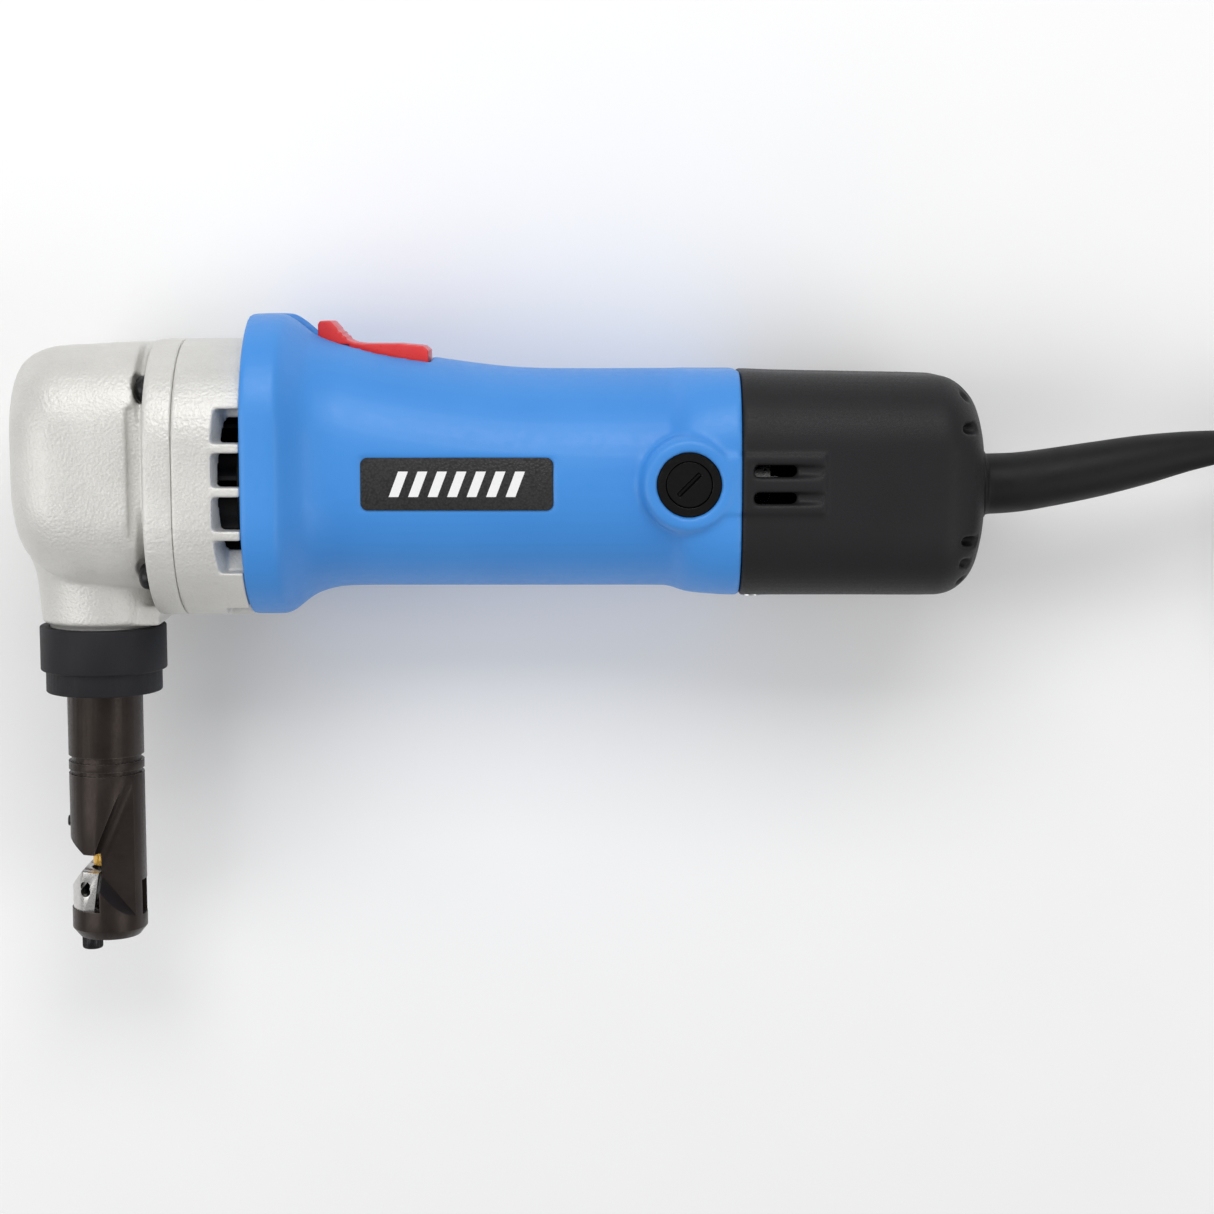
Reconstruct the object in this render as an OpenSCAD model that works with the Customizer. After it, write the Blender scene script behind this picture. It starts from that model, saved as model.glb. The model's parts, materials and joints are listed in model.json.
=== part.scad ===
// Corded sheet metal nibbler, lying on its side.
// Each module is drawn in the tool's own axes, with the origin where the nose axis meets the motor
// axis: +X runs along the motor to the cord, +Y is the switch side, and +Z points up off the table.
// in_frame() then moves the piece, so that the model's origin is under the middle of the tool.

/* [Gear housing] */
// Nose axis to the front of the gear housing
head_front = 21; // [20:0.5:30]
// Nose axis to the joint with the motor flange
head_back = 26.3; // [26:0.1:34]
// Motor axis to the top of the gear housing
head_top = 36.5; // [35:0.5:44]
// Half width of the gear housing's barrel
head_half_w = 32; // [31:0.5:40]
// Half width of the square flanges, and the motor axis to their top
flange_half = 38.2; // [38:0.1:46]
// Motor axis to the bottom of the square flanges
flange_low = 37.3; // [37:0.1:46]
// Corner radius of the square flanges
flange_corner = 23; // [18:0.5:25]
// Diameter of the cast neck
neck_d = 33.2; // [31:0.2:42]
// Diameter of the machined spigot under the neck
spigot_d = 29; // [27:0.2:31]
// Motor axis to the end of the cast neck
neck_end = 40; // [38:0.5:50]
// Length of the spigot
spigot_len = 12; // [9:0.5:18]

/* [Motor flange] */
// Length of the motor flange along the motor axis
flange_len = 18.1; // [17:0.1:24]
// Thickness of the flange's bearing wall
bearing_wall = 8.6; // [8.3:0.1:11]
// Bore of the fan chamber
fan_bore = 67; // [64:0.5:70]
// Spacing of the cooling windows
window_pitch = 11.6; // [10:0.1:13]
// Thickness of the ribs between the windows
rib = 2.6; // [1.5:0.1:4]

/* [Motor housing] */
// Length of the motor housing
housing_len = 132.8; // [110:0.1:170]
// Diameter of the grip
grip_d = 60.2; // [56:0.2:70]
// Wall of the grip
grip_wall = 2.4; // [1.6:0.1:3.2]
// Motor axis to the top of the switch hump
hump_top = 45.1; // [44:0.1:54]
// Half width of the housing's front band
band_half = 39.5; // [39:0.1:48]
// Length of the front band
band_len = 9.6; // [6:0.1:13]
// Joint with the rear cover to the brush axis
brush_back = 14.1; // [13:0.1:20]
// Diameter of the brush bosses
boss_d = 25; // [22:0.5:28]
// Motor axis to the face of a brush boss
boss_face = 33.8; // [33:0.1:40]
// Length of the label plate
label_len = 51.5; // [30:0.5:60]
// Height of the label plate
label_h = 14.1; // [8:0.1:16]

/* [Rear cover] */
// Length of the rear cover
cover_len = 67.2; // [60:0.1:95]
// Wall of the rear cover
cover_wall = 2.5; // [1.8:0.1:3.5]
// Motor axis to the bottom of the rear cover
cover_low = 31.5; // [31:0.1:38]
// Motor axis to the top of the rear cover
cover_top = 29.6; // [29:0.1:36]

/* [Nose] */
// Outer diameter of the lock ring
ring_d = 35; // [33:0.5:44]
// Length of the lock ring
ring_len = 18.6; // [18:0.2:24]
// Diameter of the die carrier's tube
carrier_d = 21; // [20:0.5:26]
// Motor axis to the carrier's foot
carrier_end = 130; // [128:0.5:150]
// Diameter of the punch
punch_d = 10.4; // [8:0.2:11]
// Height of the mouth that the sheet enters
mouth_h = 5; // [4.6:0.1:6]
// Stroke of the punch
stroke = 6; // [4:0.5:6]

/* [Drive] */
// Tooth module of both gear pairs
tooth = 1; // [0.9:0.05:1]
// Teeth on the motor pinion
pinion_teeth = 7; // [7:1:8]
// Teeth on the countershaft's wheel
wheel_teeth = 32; // [30:1:32]
// Teeth on the countershaft's pinion
second_teeth = 10; // [10:1:11]
// Diameter of the motor shaft
shaft_d = 8; // [6:0.5:8]

/* [Switch] */
// Length of the switch slider
slider_len = 30.1; // [26:0.1:36]
// Width of the switch slider
slider_w = 16.2; // [12:0.2:18]
// Travel of the switch slider
slider_travel = 5.5; // [4:0.5:6]

/* [Cord] */
// Diameter of the mains cord
cord_d = 8; // [6:0.5:9]
// Radius at the middle of the coil's turns
coil_r = 44; // [40:1:50]

/* [Hidden] */
$fn = 64;

// Clearances
run_gap = 0.05;     // radial, of a shaft in its bearing
free_gap = 0.4;     // between pieces that move past each other
bit = 0.02;         // a cut's overshoot

// Stations along the motor axis
flange_back = head_back + flange_len;
housing_back = flange_back + housing_len;
cover_back = housing_back + cover_len;
brush_x = housing_back - brush_back;

// Grip and motor
grip_r = grip_d / 2;
grip_in = grip_r - grip_wall;
fan_r = fan_bore / 2 - 2.5;
field_r = grip_in - 0.4;
field_flat = field_r - 3.9;
field_x = flange_back + 14;
field_len = brush_x - field_x - 44.5;
armature_r = 16.8;
commutator_r = 11.5;
brush_z = 11.9;

// Gear train: the countershaft lies above the motor axis, on the side away from the table
crank_teeth = pinion_teeth + wheel_teeth - second_teeth;
centre_d = tooth * (pinion_teeth + wheel_teeth) / 2;
train_way = 90;
counter_y = 0;
counter_z = centre_d;
wheel_tip_r = tooth * (wheel_teeth / 2 + 0.45);
plate_x = 14.3;
plate_t = 2.4;
plate_r = 28;
gear_cavity_r = 26;
wheel_cavity_x = head_back - 5.8;
plate_screw_r = 1.45;
plate_screw_at = gear_cavity_r - 0.8;
crank_gear_x = 8;
wheel_x = head_back - 5.3;
wheel_w = 4.8;
bearing_x = head_back + 1.2;
bearing_w = 7;
bearing_r = 11;
counter_bearing_r = 7.5;
counter_bearing_w = 5;
counter_r = 3;
rear_bearing_r = 9.5;
rear_bearing_w = 6;
rear_bearing_x = housing_back + 2.8;
shaft_r = shaft_d / 2;

// Crank and ram
throw_r = stroke / 2;
roller_r = 7;
roller_w = 9.6;
ram_t = 10;
down_left = stroke / 4;
up_left = stroke - down_left;
window_low = -(throw_r + roller_r + free_gap + up_left);
window_high = throw_r + roller_r + free_gap + down_left;
window_z = throw_r + roller_r + 0.3;
yoke_wall = 3.5;
ram_r = 6;
bush_wall = 2.5;
pin_y = -stroke / 4;
pin_z = sqrt(throw_r * throw_r - pin_y * pin_y);
crank_bearing_x = -head_front + 2.5;

// Nose, measured down from the motor axis
neck_r = neck_d / 2;
spigot_r = spigot_d / 2;
spigot_end = neck_end + spigot_len;
ring_top = neck_end + 1.4;
ring_end = ring_top + ring_len;
ring_r = ring_d / 2;
ring_step = ring_top + 12.4;
ring_lip = 3.2;
ring_flat = ring_r - 1.9;
carrier_r = carrier_d / 2;
collar_r = spigot_r - 0.7;
collar_top = spigot_end + free_gap;
collar_end = ring_end - ring_lip - free_gap;
punch_r = punch_d / 2;
punch_nose_r = punch_r - 0.8;
ram_end = ring_end;
foot_top = carrier_end - 8.2;
die_top = carrier_end - 19.6;
punch_tip = die_top - 0.6;
shoulder_low = die_top - mouth_h;
web_x = 0.9;
side_cut_z = 6.2;
die_screw_x = 5.2;
die_screw_end = carrier_end + 4.2;

// Housing screws
screw_at = flange_half - 13.1;
screw_seat = head_back - 7.7;
screw_r = 2.1;
screw_head_r = 3.7;
screw_end = flange_back + 8;

// Switch
slider_x = flange_back + 17.8;
slider_floor = grip_r + 0.9;
trough_floor = hump_top - 8.9;
rod_y = field_flat + 0.4;
rod_t = 1.6;
rod_w = 7;
switch_x = housing_back + 20;
switch_len = 28.5;

// Label
label_x = flange_back + 31;
label_t = 0.8;
label_face = grip_r - 0.4;

// Cord exit and sleeve, with the route's points in the tool's own axes
exit_y = -2.1;
bead_r = 9.5;
cord_r = cord_d / 2;
axis_h = band_half;
sleeve_path = [[0, 0, 0], [10, 0.5, 0], [18, 1.6, 0], [32, 4, -0.4], [46, 6.7, -1.2], [57.5, 8.8, -2.3],
    [68, 10.2, -3.8]];
sleeve_radii = [8.5, 8.3, 8.1, 7.7, 6.9, 5.7, 4.6];
lead_path = [[68, 10.2, -3.8], [74, 10.8, -5], [82, 11.4, -7.6], [90, 11.9, -11.4], [98, 12.3, -16.2],
    [106, 12.6, -21.4], [114, 12.8, -26.4], [122, 12.9, -30.6], [130, 13, -33.6], [138, 13, -35.2],
    [144, 13, -35.5]];
coil_turns = 3;
coil_layers = 2;
coil_outer = coil_r + coil_turns * cord_r;
coil_inner = coil_r - coil_turns * cord_r;
coil_h = coil_layers * cord_d;
coil_centre = [cover_back + 144, exit_y + 13 - coil_r - cord_d, 0];
// The last half turn lies on the coil and rises into the plug
tail_r = 33;
tail_low = -7;
tail_path = concat([[coil_r, 0, 20], [coil_r, tail_low / 2, 20]],
    [for (i = [0:12]) [coil_r - tail_r + tail_r * cos(15 * i), tail_low - tail_r * sin(15 * i),
        20 + 4.5 * (1 - cos(15 * i))]]);
plug_at = [coil_r - 2 * tail_r, tail_low, 29];
plug_w = 36;
plug_t = 26;
plug_len = 34;
plug_neck = 20;
pin_len = 19;
pin_pitch = 19;
plug_pin_r = 2.4;

// Sections of the lofted castings and mouldings: [x, top, bottom, half width, corner radius]
arc_steps = 6;
head_sections = [
    [-head_front, head_top - 16, -9, head_half_w - 18, 12],
    [-head_front + 0.5, head_top - 10.5, -13.5, head_half_w - 14, 14],
    [-head_front + 1.4, head_top - 7.6, -17, head_half_w - 10, 16],
    [-head_front + 3.3, head_top - 4.5, -20.5, head_half_w - 6, 18],
    [-head_front + 7, head_top - 1.8, -24, head_half_w - 2.6, 20],
    [-head_front + 12, head_top - 0.2, -27, head_half_w - 0.4, 22],
    [-head_front + 16, head_top, -28.5, head_half_w, 22],
    [12.6, head_top + 1, -30, head_half_w, 22],
    [13.8, head_top + 1.1, -30, head_half_w - 1.4, 22],
    [head_back - 8.7, head_top + 1.4, -30, head_half_w - 1.4, 22],
    [head_back - 7.8, flange_half - 0.2, -flange_low, flange_half - 0.3, flange_corner],
    [head_back, flange_half, -flange_low, flange_half, flange_corner]];
band_back = flange_back + band_len;
band_low = flange_low - 0.5;
housing_sections = [
    [flange_back, hump_top - 0.1, -band_low, band_half, flange_corner + 2],
    [band_back - 1, hump_top, -band_low, band_half, flange_corner + 2],
    [band_back + 1, hump_top - 0.7, -band_low + 0.3, band_half - 0.6, flange_corner + 2],
    [band_back + 3.5, hump_top - 2.3, -grip_r - 4.6, grip_r + 6, 25],
    [band_back + 6.8, hump_top - 4.7, -grip_r - 2.4, grip_r + 3.1, 26],
    [band_back + 10.8, hump_top - 6.2, -grip_r - 0.8, grip_r + 1.2, 28],
    [band_back + 15.5, hump_top - 7.3, -grip_r, grip_r + 0.2, 0.97 * grip_r],
    [band_back + 25.6, hump_top - 9.7, -grip_r, grip_r, 0.97 * grip_r],
    [band_back + 38.5, max(grip_r, hump_top - 11.7), -grip_r, grip_r, 0.97 * grip_r],
    [band_back + 66, grip_r, -grip_r, grip_r, 0.97 * grip_r],
    [housing_back - 22, grip_r, -grip_r, grip_r, 0.97 * grip_r],
    [housing_back - 15.5, grip_r, -cover_low + 0.4, cover_low, 26],
    [housing_back - 11, cover_top + 0.3, -cover_low + 0.1, cover_low + 0.5, 23],
    [housing_back, cover_top + 0.2, -cover_low, cover_low + 0.9, 20]];
cover_sections = [
    [housing_back, cover_top, -cover_low, cover_low + 0.9, 20],
    [cover_back - 12, cover_top - 1.2, -cover_low + 0.2, cover_low + 0.5, 19],
    [cover_back - 7.2, cover_top - 4.3, -cover_low + 2.6, cover_low - 2, 17],
    [cover_back - 3.5, cover_top - 8, -cover_low + 6.4, cover_low - 5.5, 15],
    [cover_back - 1.2, 13, -17, 17, 11],
    [cover_back, 9, -13, 12, 9]];

// Moves a piece from the tool's own axes to the model's
module in_frame() {
    translate([-(cover_back - head_front) / 2, (die_screw_end - hump_top) / 2, axis_h]) children();
}

// Cylinders and tubes along each axis, from a to b
module along_x(a, b, r) { translate([a, 0, 0]) rotate([0, 90, 0]) cylinder(h = b - a, r = r); }
module along_y(a, b, r) { translate([0, a, 0]) rotate([-90, 0, 0]) cylinder(h = b - a, r = r); }
module along_z(a, b, r) { translate([0, 0, a]) cylinder(h = b - a, r = r); }
module cone_y(a, b, ra, rb) { translate([0, a, 0]) rotate([-90, 0, 0]) cylinder(h = b - a, r1 = ra, r2 = rb); }
module tube_x(a, b, r, bore) {
    difference() {
        along_x(a, b, r);
        along_x(a - bit, b + bit, bore);
    }
}
module tube_y(a, b, r, bore) {
    difference() {
        along_y(a, b, r);
        along_y(a - bit, b + bit, bore);
    }
}
// A box between two corners
module block(low, high) { translate(low) cube(high - low); }
// A copy on each side of the motor axis
module both_sides() {
    children();
    mirror([0, 0, 1]) children();
}
module at_corners(d) {
    for (y = [-d, d], z = [-d, d]) translate([0, y, z]) children();
}

// A closed skin over rings of points that turn right-handed about the way they advance
module skin(rings) {
    n = len(rings[0]);
    last = len(rings) - 1;
    sides = [for (i = [0:last - 1], k = [0:n - 1])
        let (a = i * n + k, d = i * n + (k + 1) % n) each [[a, a + n, d + n], [a, d + n, d]]];
    polyhedron(points = [for (ring = rings) each ring],
        faces = concat([[for (k = [0:n - 1]) k]], [[for (k = [n - 1:-1:0]) last * n + k]], sides));
}
// A rounded rectangle's points, at station s[0]
function section_points(s, inset = 0) =
    let (r = max(2, s[4] - inset), top = s[1] - inset - r, low = s[2] + inset + r, side = s[3] - inset - r)
    [for (q = [0:3], k = [0:arc_steps])
        let (a = 90 * (q + k / arc_steps))
        [s[0], (q == 0 || q == 3 ? top : low) + r * cos(a), (q < 2 ? side : -side) + r * sin(a)]];
module loft(sections) { skin([for (s = sections) section_points(s)]); }
// One section, drawn in by inset, as a straight block from a to b
module prism(s, inset, a, b) {
    translate([a, 0, 0]) extrude_x(b - a) polygon([for (p = section_points(s, inset)) [p[1], p[2]]]);
}

// A round tube along a path
function unit(v) = v / norm(v);
function heading(path, i) = unit(path[min(i + 1, len(path) - 1)] - path[max(i - 1, 0)]);
function ring_at(centre, way, r, sides) =
    let (side = unit(cross([0, 0, 1], way)), up = cross(way, side))
    [for (k = [0:sides - 1]) centre + r * (cos(360 * k / sides) * side + sin(360 * k / sides) * up)];
module sweep(path, radii, sides) {
    skin([for (i = [0:len(path) - 1]) ring_at(path[i], heading(path, i), radii[i], sides)]);
}

// A spur gear about X; first is the angle of one tooth, turned from +Y towards +Z
module gear(teeth, x, w, first) {
    pitch_r = tooth * teeth / 2;
    root_r = pitch_r - 1.05 * tooth;
    tip_r = pitch_r + 0.45 * tooth;
    half_root = asin(0.42 * tooth * 1.6 / pitch_r);
    half_tip = asin(0.42 * tooth / pitch_r);
    outline = [for (i = [0:teeth - 1], p = [[root_r, -half_root], [tip_r, -half_tip], [tip_r, half_tip],
        [root_r, half_root]])
        let (a = first + 360 * i / teeth + p[1]) [p[0] * cos(a), p[0] * sin(a)]];
    translate([x, 0, 0]) extrude_x(w) polygon(outline);
}
// Extrudes an outline drawn in Y and Z along X
module extrude_x(w) { rotate([90, 0, 90]) linear_extrude(w) children(); }

// ---- Gear head ----

module gear_housing() in_frame() color("silver") difference() {
    union() {
        loft(head_sections);
        along_y(-neck_end, 0, neck_r);
        along_y(-spigot_end, -neck_end + 1, spigot_r);
    }
    // the gear space, with a boss for each screw of the inner plate
    difference() {
        along_x(-head_front + 12, plate_x, gear_cavity_r);
        plate_screw_places() along_x(7, plate_x + 1, plate_screw_r + 1.7);
    }
    along_x(plate_x - bit, wheel_cavity_x, plate_r);
    along_x(wheel_cavity_x - bit, head_back + 1, plate_r + 1);
    translate([0, counter_y, counter_z]) along_x(wheel_cavity_x - bit, head_back + 1, wheel_tip_r + free_gap);
    along_x(crank_bearing_x, -head_front + 13, bearing_r);
    along_y(-spigot_end - 1, -20, ram_r + bush_wall);
    at_corners(screw_at) {
        along_x(7, screw_seat, screw_head_r + 0.9);
        along_x(screw_seat - 1, head_back + 1, screw_r + 0.15);
    }
    plate_screw_places() along_x(7.3, plate_x + 1, plate_screw_r + run_gap);
}

module plate_screw_places() {
    for (a = [20, 160, 220, 320]) rotate([a, 0, 0]) translate([0, plate_screw_at, 0]) children();
}

module inner_plate() in_frame() color("darkgray") difference() {
    along_x(plate_x, plate_x + plate_t, plate_r - 0.1);
    along_x(plate_x - 1, plate_x + plate_t + 1, shaft_r + 2);
    translate([0, counter_y, counter_z]) along_x(plate_x - 1, plate_x + plate_t + 1, counter_r + 2);
    plate_screw_places() along_x(plate_x - 1, plate_x + plate_t + 1, plate_screw_r + 0.15);
}

module plate_screws() in_frame() color("dimgray") plate_screw_places() {
    along_x(7.5, plate_x + plate_t, plate_screw_r);
    along_x(plate_x + plate_t, plate_x + plate_t + 1.6, 2.6);
}

// A bearing as two rings, a cage and its balls
module ball_bearing(x, w, r, bore) {
    wall = (r - bore) * 0.3;
    tube_x(x, x + w, r, r - wall);
    tube_x(x, x + w, bore + wall, bore);
    tube_x(x + w * 0.15, x + w * 0.85, r - wall, bore + wall);
}

module crank_bearing() in_frame() color("silver")
    ball_bearing(crank_bearing_x, bearing_w, bearing_r, shaft_r + run_gap);
module crank_bush() in_frame() color("peru")
    tube_x(plate_x, plate_x + 3.8, shaft_r + 2, shaft_r + run_gap);
module counter_bush() in_frame() color("peru")
    translate([0, counter_y, counter_z]) tube_x(plate_x, plate_x + 3.8, counter_r + 2, counter_r + run_gap);
module counter_bearing() in_frame() color("silver") translate([0, counter_y, counter_z])
    ball_bearing(head_back, counter_bearing_w, counter_bearing_r, counter_r + run_gap);

module crankshaft() in_frame() color("gray") {
    along_x(crank_bearing_x + 0.3, -ram_t / 2 - 4.6, shaft_r);
    along_x(-ram_t / 2 - 4.6, -ram_t / 2 - 0.6, roller_r + 1.5);
    translate([0, pin_y, pin_z]) along_x(-ram_t / 2 - 1, ram_t / 2 + 1, shaft_r);
    along_x(ram_t / 2 + 0.6, crank_gear_x, roller_r + 1.5);
    along_x(crank_gear_x - 0.5, plate_x + plate_t + 1.2, shaft_r);
}
module crank_roller() in_frame() color("lightgray")
    translate([0, pin_y, pin_z]) tube_x(-roller_w / 2, roller_w / 2, roller_r, shaft_r + 0.01);
module crank_gear() in_frame() color("slategray") difference() {
    gear(crank_teeth, crank_gear_x, plate_x - free_gap - crank_gear_x, train_way + 180 / crank_teeth);
    along_x(0, plate_x + 1, shaft_r + 0.01);
}
module countershaft() in_frame() color("slategray") translate([0, counter_y, counter_z]) {
    gear(second_teeth, crank_gear_x, plate_x - free_gap - crank_gear_x, train_way + 180);
    along_x(crank_gear_x + 0.3, head_back + counter_bearing_w - 0.1, counter_r);
    gear(wheel_teeth, wheel_x, wheel_w, train_way + 180 + 180 / wheel_teeth);
}

module ram() in_frame() color("gray") difference() {
    union() {
        block([-ram_t / 2, window_low - yoke_wall, -window_z - yoke_wall],
            [ram_t / 2, window_high + yoke_wall, window_z + yoke_wall]);
        along_y(-ram_end, window_low - 1, ram_r);
    }
    block([-ram_t, window_low, -window_z], [ram_t, window_high, window_z]);
    along_y(-ram_end - 1, -ram_end + 14, 3.5);
}
module ram_bush() in_frame() color("peru")
    tube_y(-spigot_end, -gear_cavity_r - 2, ram_r + bush_wall, ram_r + run_gap);

// ---- Nose ----

module punch() in_frame() color("goldenrod") {
    along_y(-ram_end, -ram_end + 13, 3.48);
    along_y(-punch_tip + 3, -ram_end, punch_r);
    along_y(-punch_tip, -punch_tip + 3.2, punch_nose_r);
}

module lock_ring() in_frame() color("dimgray") difference() {
    union() {
        along_y(-ring_step, -ring_top, ring_r);
        intersection() {
            along_y(-ring_end, -ring_step + 1, ring_r - 1.4);
            block([-ring_r, -ring_end, -ring_flat], [ring_r, -ring_step + 1, ring_flat]);
        }
    }
    along_y(-ring_end + ring_lip, -ring_top + 1, spigot_r + run_gap);
    along_y(-ring_end - 1, -ring_top, carrier_r + free_gap);
}

// Grooves turned round the carrier
module carrier_groove(y, w) { tube_y(-y - w, -y, carrier_r + 1, carrier_r - 0.8); }

module die_carrier() in_frame() color([0.2, 0.16, 0.15]) difference() {
    union() {
        along_y(-collar_end, -collar_top, collar_r);
        along_y(-carrier_end + 2.5, -collar_end + 1, carrier_r);
        cone_y(-carrier_end, -carrier_end + 2.5, carrier_r - 2, carrier_r);
    }
    carrier_groove(ring_end + 18, 1.7);
    carrier_groove(ring_end + 22, 1.2);
    along_y(-ram_end - down_left - 1, -collar_top + 1, ram_r + free_gap);
    along_y(-foot_top - 2, -ram_end, punch_r + free_gap);
    // the mouth, with its sloping shoulder
    translate([0, 0, -carrier_r - 1]) linear_extrude(2 * carrier_r + 2) polygon([
        [-web_x, -foot_top], [-web_x, -shoulder_low], [-5.3, -shoulder_low],
        [-carrier_r - 1, -shoulder_low + 5], [-carrier_r - 1, -foot_top]]);
    // flats on both sides, which run out in a scoop above the mouth and in a slope above the foot
    both_sides() intersection() {
        union() {
            translate([8.5, -die_top + 20.6, side_cut_z + 4]) rotate([0, 0, 67.6]) hull() for (z = [0, 8])
                translate([0, 0, z]) rotate([0, 90, 0]) cylinder(h = 120, r = 4, center = true);
            translate([8.5, -die_top + 20.6, side_cut_z]) rotate([0, 0, 67.6])
                translate([-60, -60, 0]) cube([120, 60, 20]);
        }
        translate([0.5, -die_top - 3.2, side_cut_z]) rotate([0, 0, -50.6]) rotate([30, 0, 0])
            translate([-60, 0, -80]) cube([120, 60, 160]);
        block([-web_x - 1, -carrier_end, side_cut_z], [2 * carrier_r, -ring_end - 24, 2 * carrier_r]);
    }
    // slug way behind the punch, and the die screw's hole
    block([0, -foot_top - 2, -3.6], [carrier_r + 1, -foot_top + 8, 3.6]);
    translate([-die_screw_x, 0, 0]) along_y(-carrier_end - 1, -foot_top + 1, 1.6);
    translate([0, -shoulder_low + 8, 0]) along_x(-carrier_r - 1, -punch_r, 1.5);
}
module die() in_frame() color("lightgray") difference() {
    intersection() {
        translate([0, 0, -carrier_r]) linear_extrude(2 * carrier_r) polygon([
            [-6.2, -die_top], [-1.4, -die_top - 0.6], [-2.9, -foot_top], [-carrier_r + 0.3, -foot_top],
            [-carrier_r + 0.3, -die_top - 5.4]]);
        along_y(-foot_top - 1, -die_top, carrier_r - 0.3);
        block([-carrier_r, -carrier_end, -carrier_r + 2], [0, 0, carrier_r - 2]);
    }
    along_y(-die_top - 3, -die_top + 1, punch_nose_r + free_gap);
    // the upper edges fall away on both sides
    both_sides() translate([0, -die_top, punch_nose_r + 1]) rotate([-60, 0, 0]) translate([-carrier_r, 0, -1]) cube([carrier_r, 6, 12]);
    translate([-die_screw_x, 0, 0]) along_y(-foot_top - 1, -die_top - 4.6, 1.5);
    for (y = [-die_top - 4.2, -die_top - 5.8]) translate([-die_screw_x, y, 0]) along_z(-20, 20, 1.4);
}
module die_screw() in_frame() color("dimgray") translate([-die_screw_x, 0, 0]) difference() {
    union() {
        along_y(-carrier_end, -die_top - 5, 1.48);
        along_y(-die_screw_end, -carrier_end, 2.75);
    }
    translate([0, -die_screw_end - 1, 0]) rotate([-90, 0, 0]) cylinder(h = 3, r = 1.44, $fn = 6);
}
module carrier_set_screw() in_frame() color("black") translate([0, -shoulder_low + 8, 0]) difference() {
    along_x(-carrier_r - 0.6, -punch_r - free_gap - 0.1, 1.48);
    translate([-carrier_r - 1, 0, 0]) rotate([0, 90, 0]) cylinder(h = 2, r = 0.8, $fn = 6);
}

// ---- Motor ----

module motor_flange() in_frame() color("silver") difference() {
    loft([for (x = [head_back, flange_back]) [x, flange_half, -flange_low, flange_half, flange_corner]]);
    along_x(head_back + bearing_wall, flange_back + 1, fan_bore / 2);
    along_x(head_back - 1, head_back + 3, shaft_r + 0.8);
    along_x(bearing_x, flange_back, bearing_r);
    translate([0, counter_y, counter_z])
        along_x(head_back - 1, head_back + counter_bearing_w, counter_bearing_r);
    at_corners(screw_at) along_x(head_back - 1, flange_back + 1, screw_r + 0.15);
    windows = window_pitch - rib;
    window_top = 20.3;
    both_sides() for (i = [0:3])
        block([head_back + bearing_wall + 1, window_top - i * window_pitch - windows, 28],
            [flange_back + 1, window_top - i * window_pitch, flange_half + 1]);
    both_sides() for (i = [0:1])
        block([head_back + bearing_wall + 1, -flange_half - 1, rib / 2 + i * window_pitch],
            [flange_back + 1, -28, rib / 2 + i * window_pitch + windows]);
}
module housing_screws() in_frame() color("black") at_corners(screw_at) {
    difference() {
        along_x(screw_seat - 1.9, screw_seat, screw_head_r);
        for (a = [0, 90]) rotate([a, 0, 0]) block([screw_seat - 3, -0.5, -2], [screw_seat - 1, 0.5, 2]);
    }
    along_x(screw_seat, screw_end, screw_r);
}
module front_bearing() in_frame() color("silver")
    ball_bearing(bearing_x, bearing_w, bearing_r, shaft_r + run_gap);
module rear_bearing() in_frame() color("silver")
    ball_bearing(rear_bearing_x, rear_bearing_w, rear_bearing_r, shaft_r - 0.5 + run_gap);

module armature_shaft() in_frame() color("gray") {
    gear(pinion_teeth, wheel_x - 0.3, 5.8, train_way);
    along_x(head_back + 0.2, brush_x + 12, shaft_r);
    along_x(brush_x + 12, rear_bearing_x + rear_bearing_w - 0.2, shaft_r - 0.5);
}
module armature_core() in_frame() color("dimgray") difference() {
    along_x(field_x + 2, field_x + field_len - 2, armature_r);
    along_x(field_x, field_x + field_len, shaft_r + 0.01);
    for (a = [0:30:330]) rotate([a, 0, 0]) block([field_x, armature_r - 1.5, -1.2],
        [field_x + field_len, armature_r + 1, 1.2]);
}
module armature_windings() in_frame() color("chocolate") {
    tube_x(field_x - 7, field_x + 2, armature_r - 2.5, shaft_r + 0.01);
    tube_x(field_x + field_len - 2, brush_x - 10.5, armature_r - 3, shaft_r + 0.01);
}
module commutator() in_frame() color("peru") difference() {
    tube_x(brush_x - 10, brush_x + 10, commutator_r, shaft_r + 0.01);
    for (a = [0:15:345]) rotate([a, 0, 0])
        block([brush_x - 9, commutator_r - 0.8, -0.3], [brush_x + 11, commutator_r + 1, 0.3]);
}
module cooling_fan() in_frame() color("black") {
    fan_x = head_back + bearing_wall + 1.2;
    tube_x(fan_x, flange_back - 0.4, 9, shaft_r + 0.01);
    tube_x(flange_back - 2, flange_back - 0.4, fan_r, 8);
    for (a = [0:30:330]) rotate([a, 0, 0])
        block([fan_x, 8, -0.8], [flange_back - 1.5, fan_r - 1, 0.8]);
}
module fan_baffle() in_frame() color("black")
    tube_x(flange_back + 1.5, flange_back + 3.2, fan_bore / 2 - 0.1, armature_r + 6);
module field_core() in_frame() color("gray") difference() {
    intersection() {
        along_x(field_x, field_x + field_len, field_r);
        block([field_x - 1, -field_flat, -grip_r], [field_x + field_len + 1, field_flat, grip_r]);
    }
    along_x(field_x - 1, field_x + field_len + 1, armature_r + 0.7);
}
module field_coils() in_frame() color("chocolate")
    for (x = [field_x - 7, field_x + field_len]) tube_x(x, x + 7, field_flat - 0.6, armature_r + 0.7);

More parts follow.
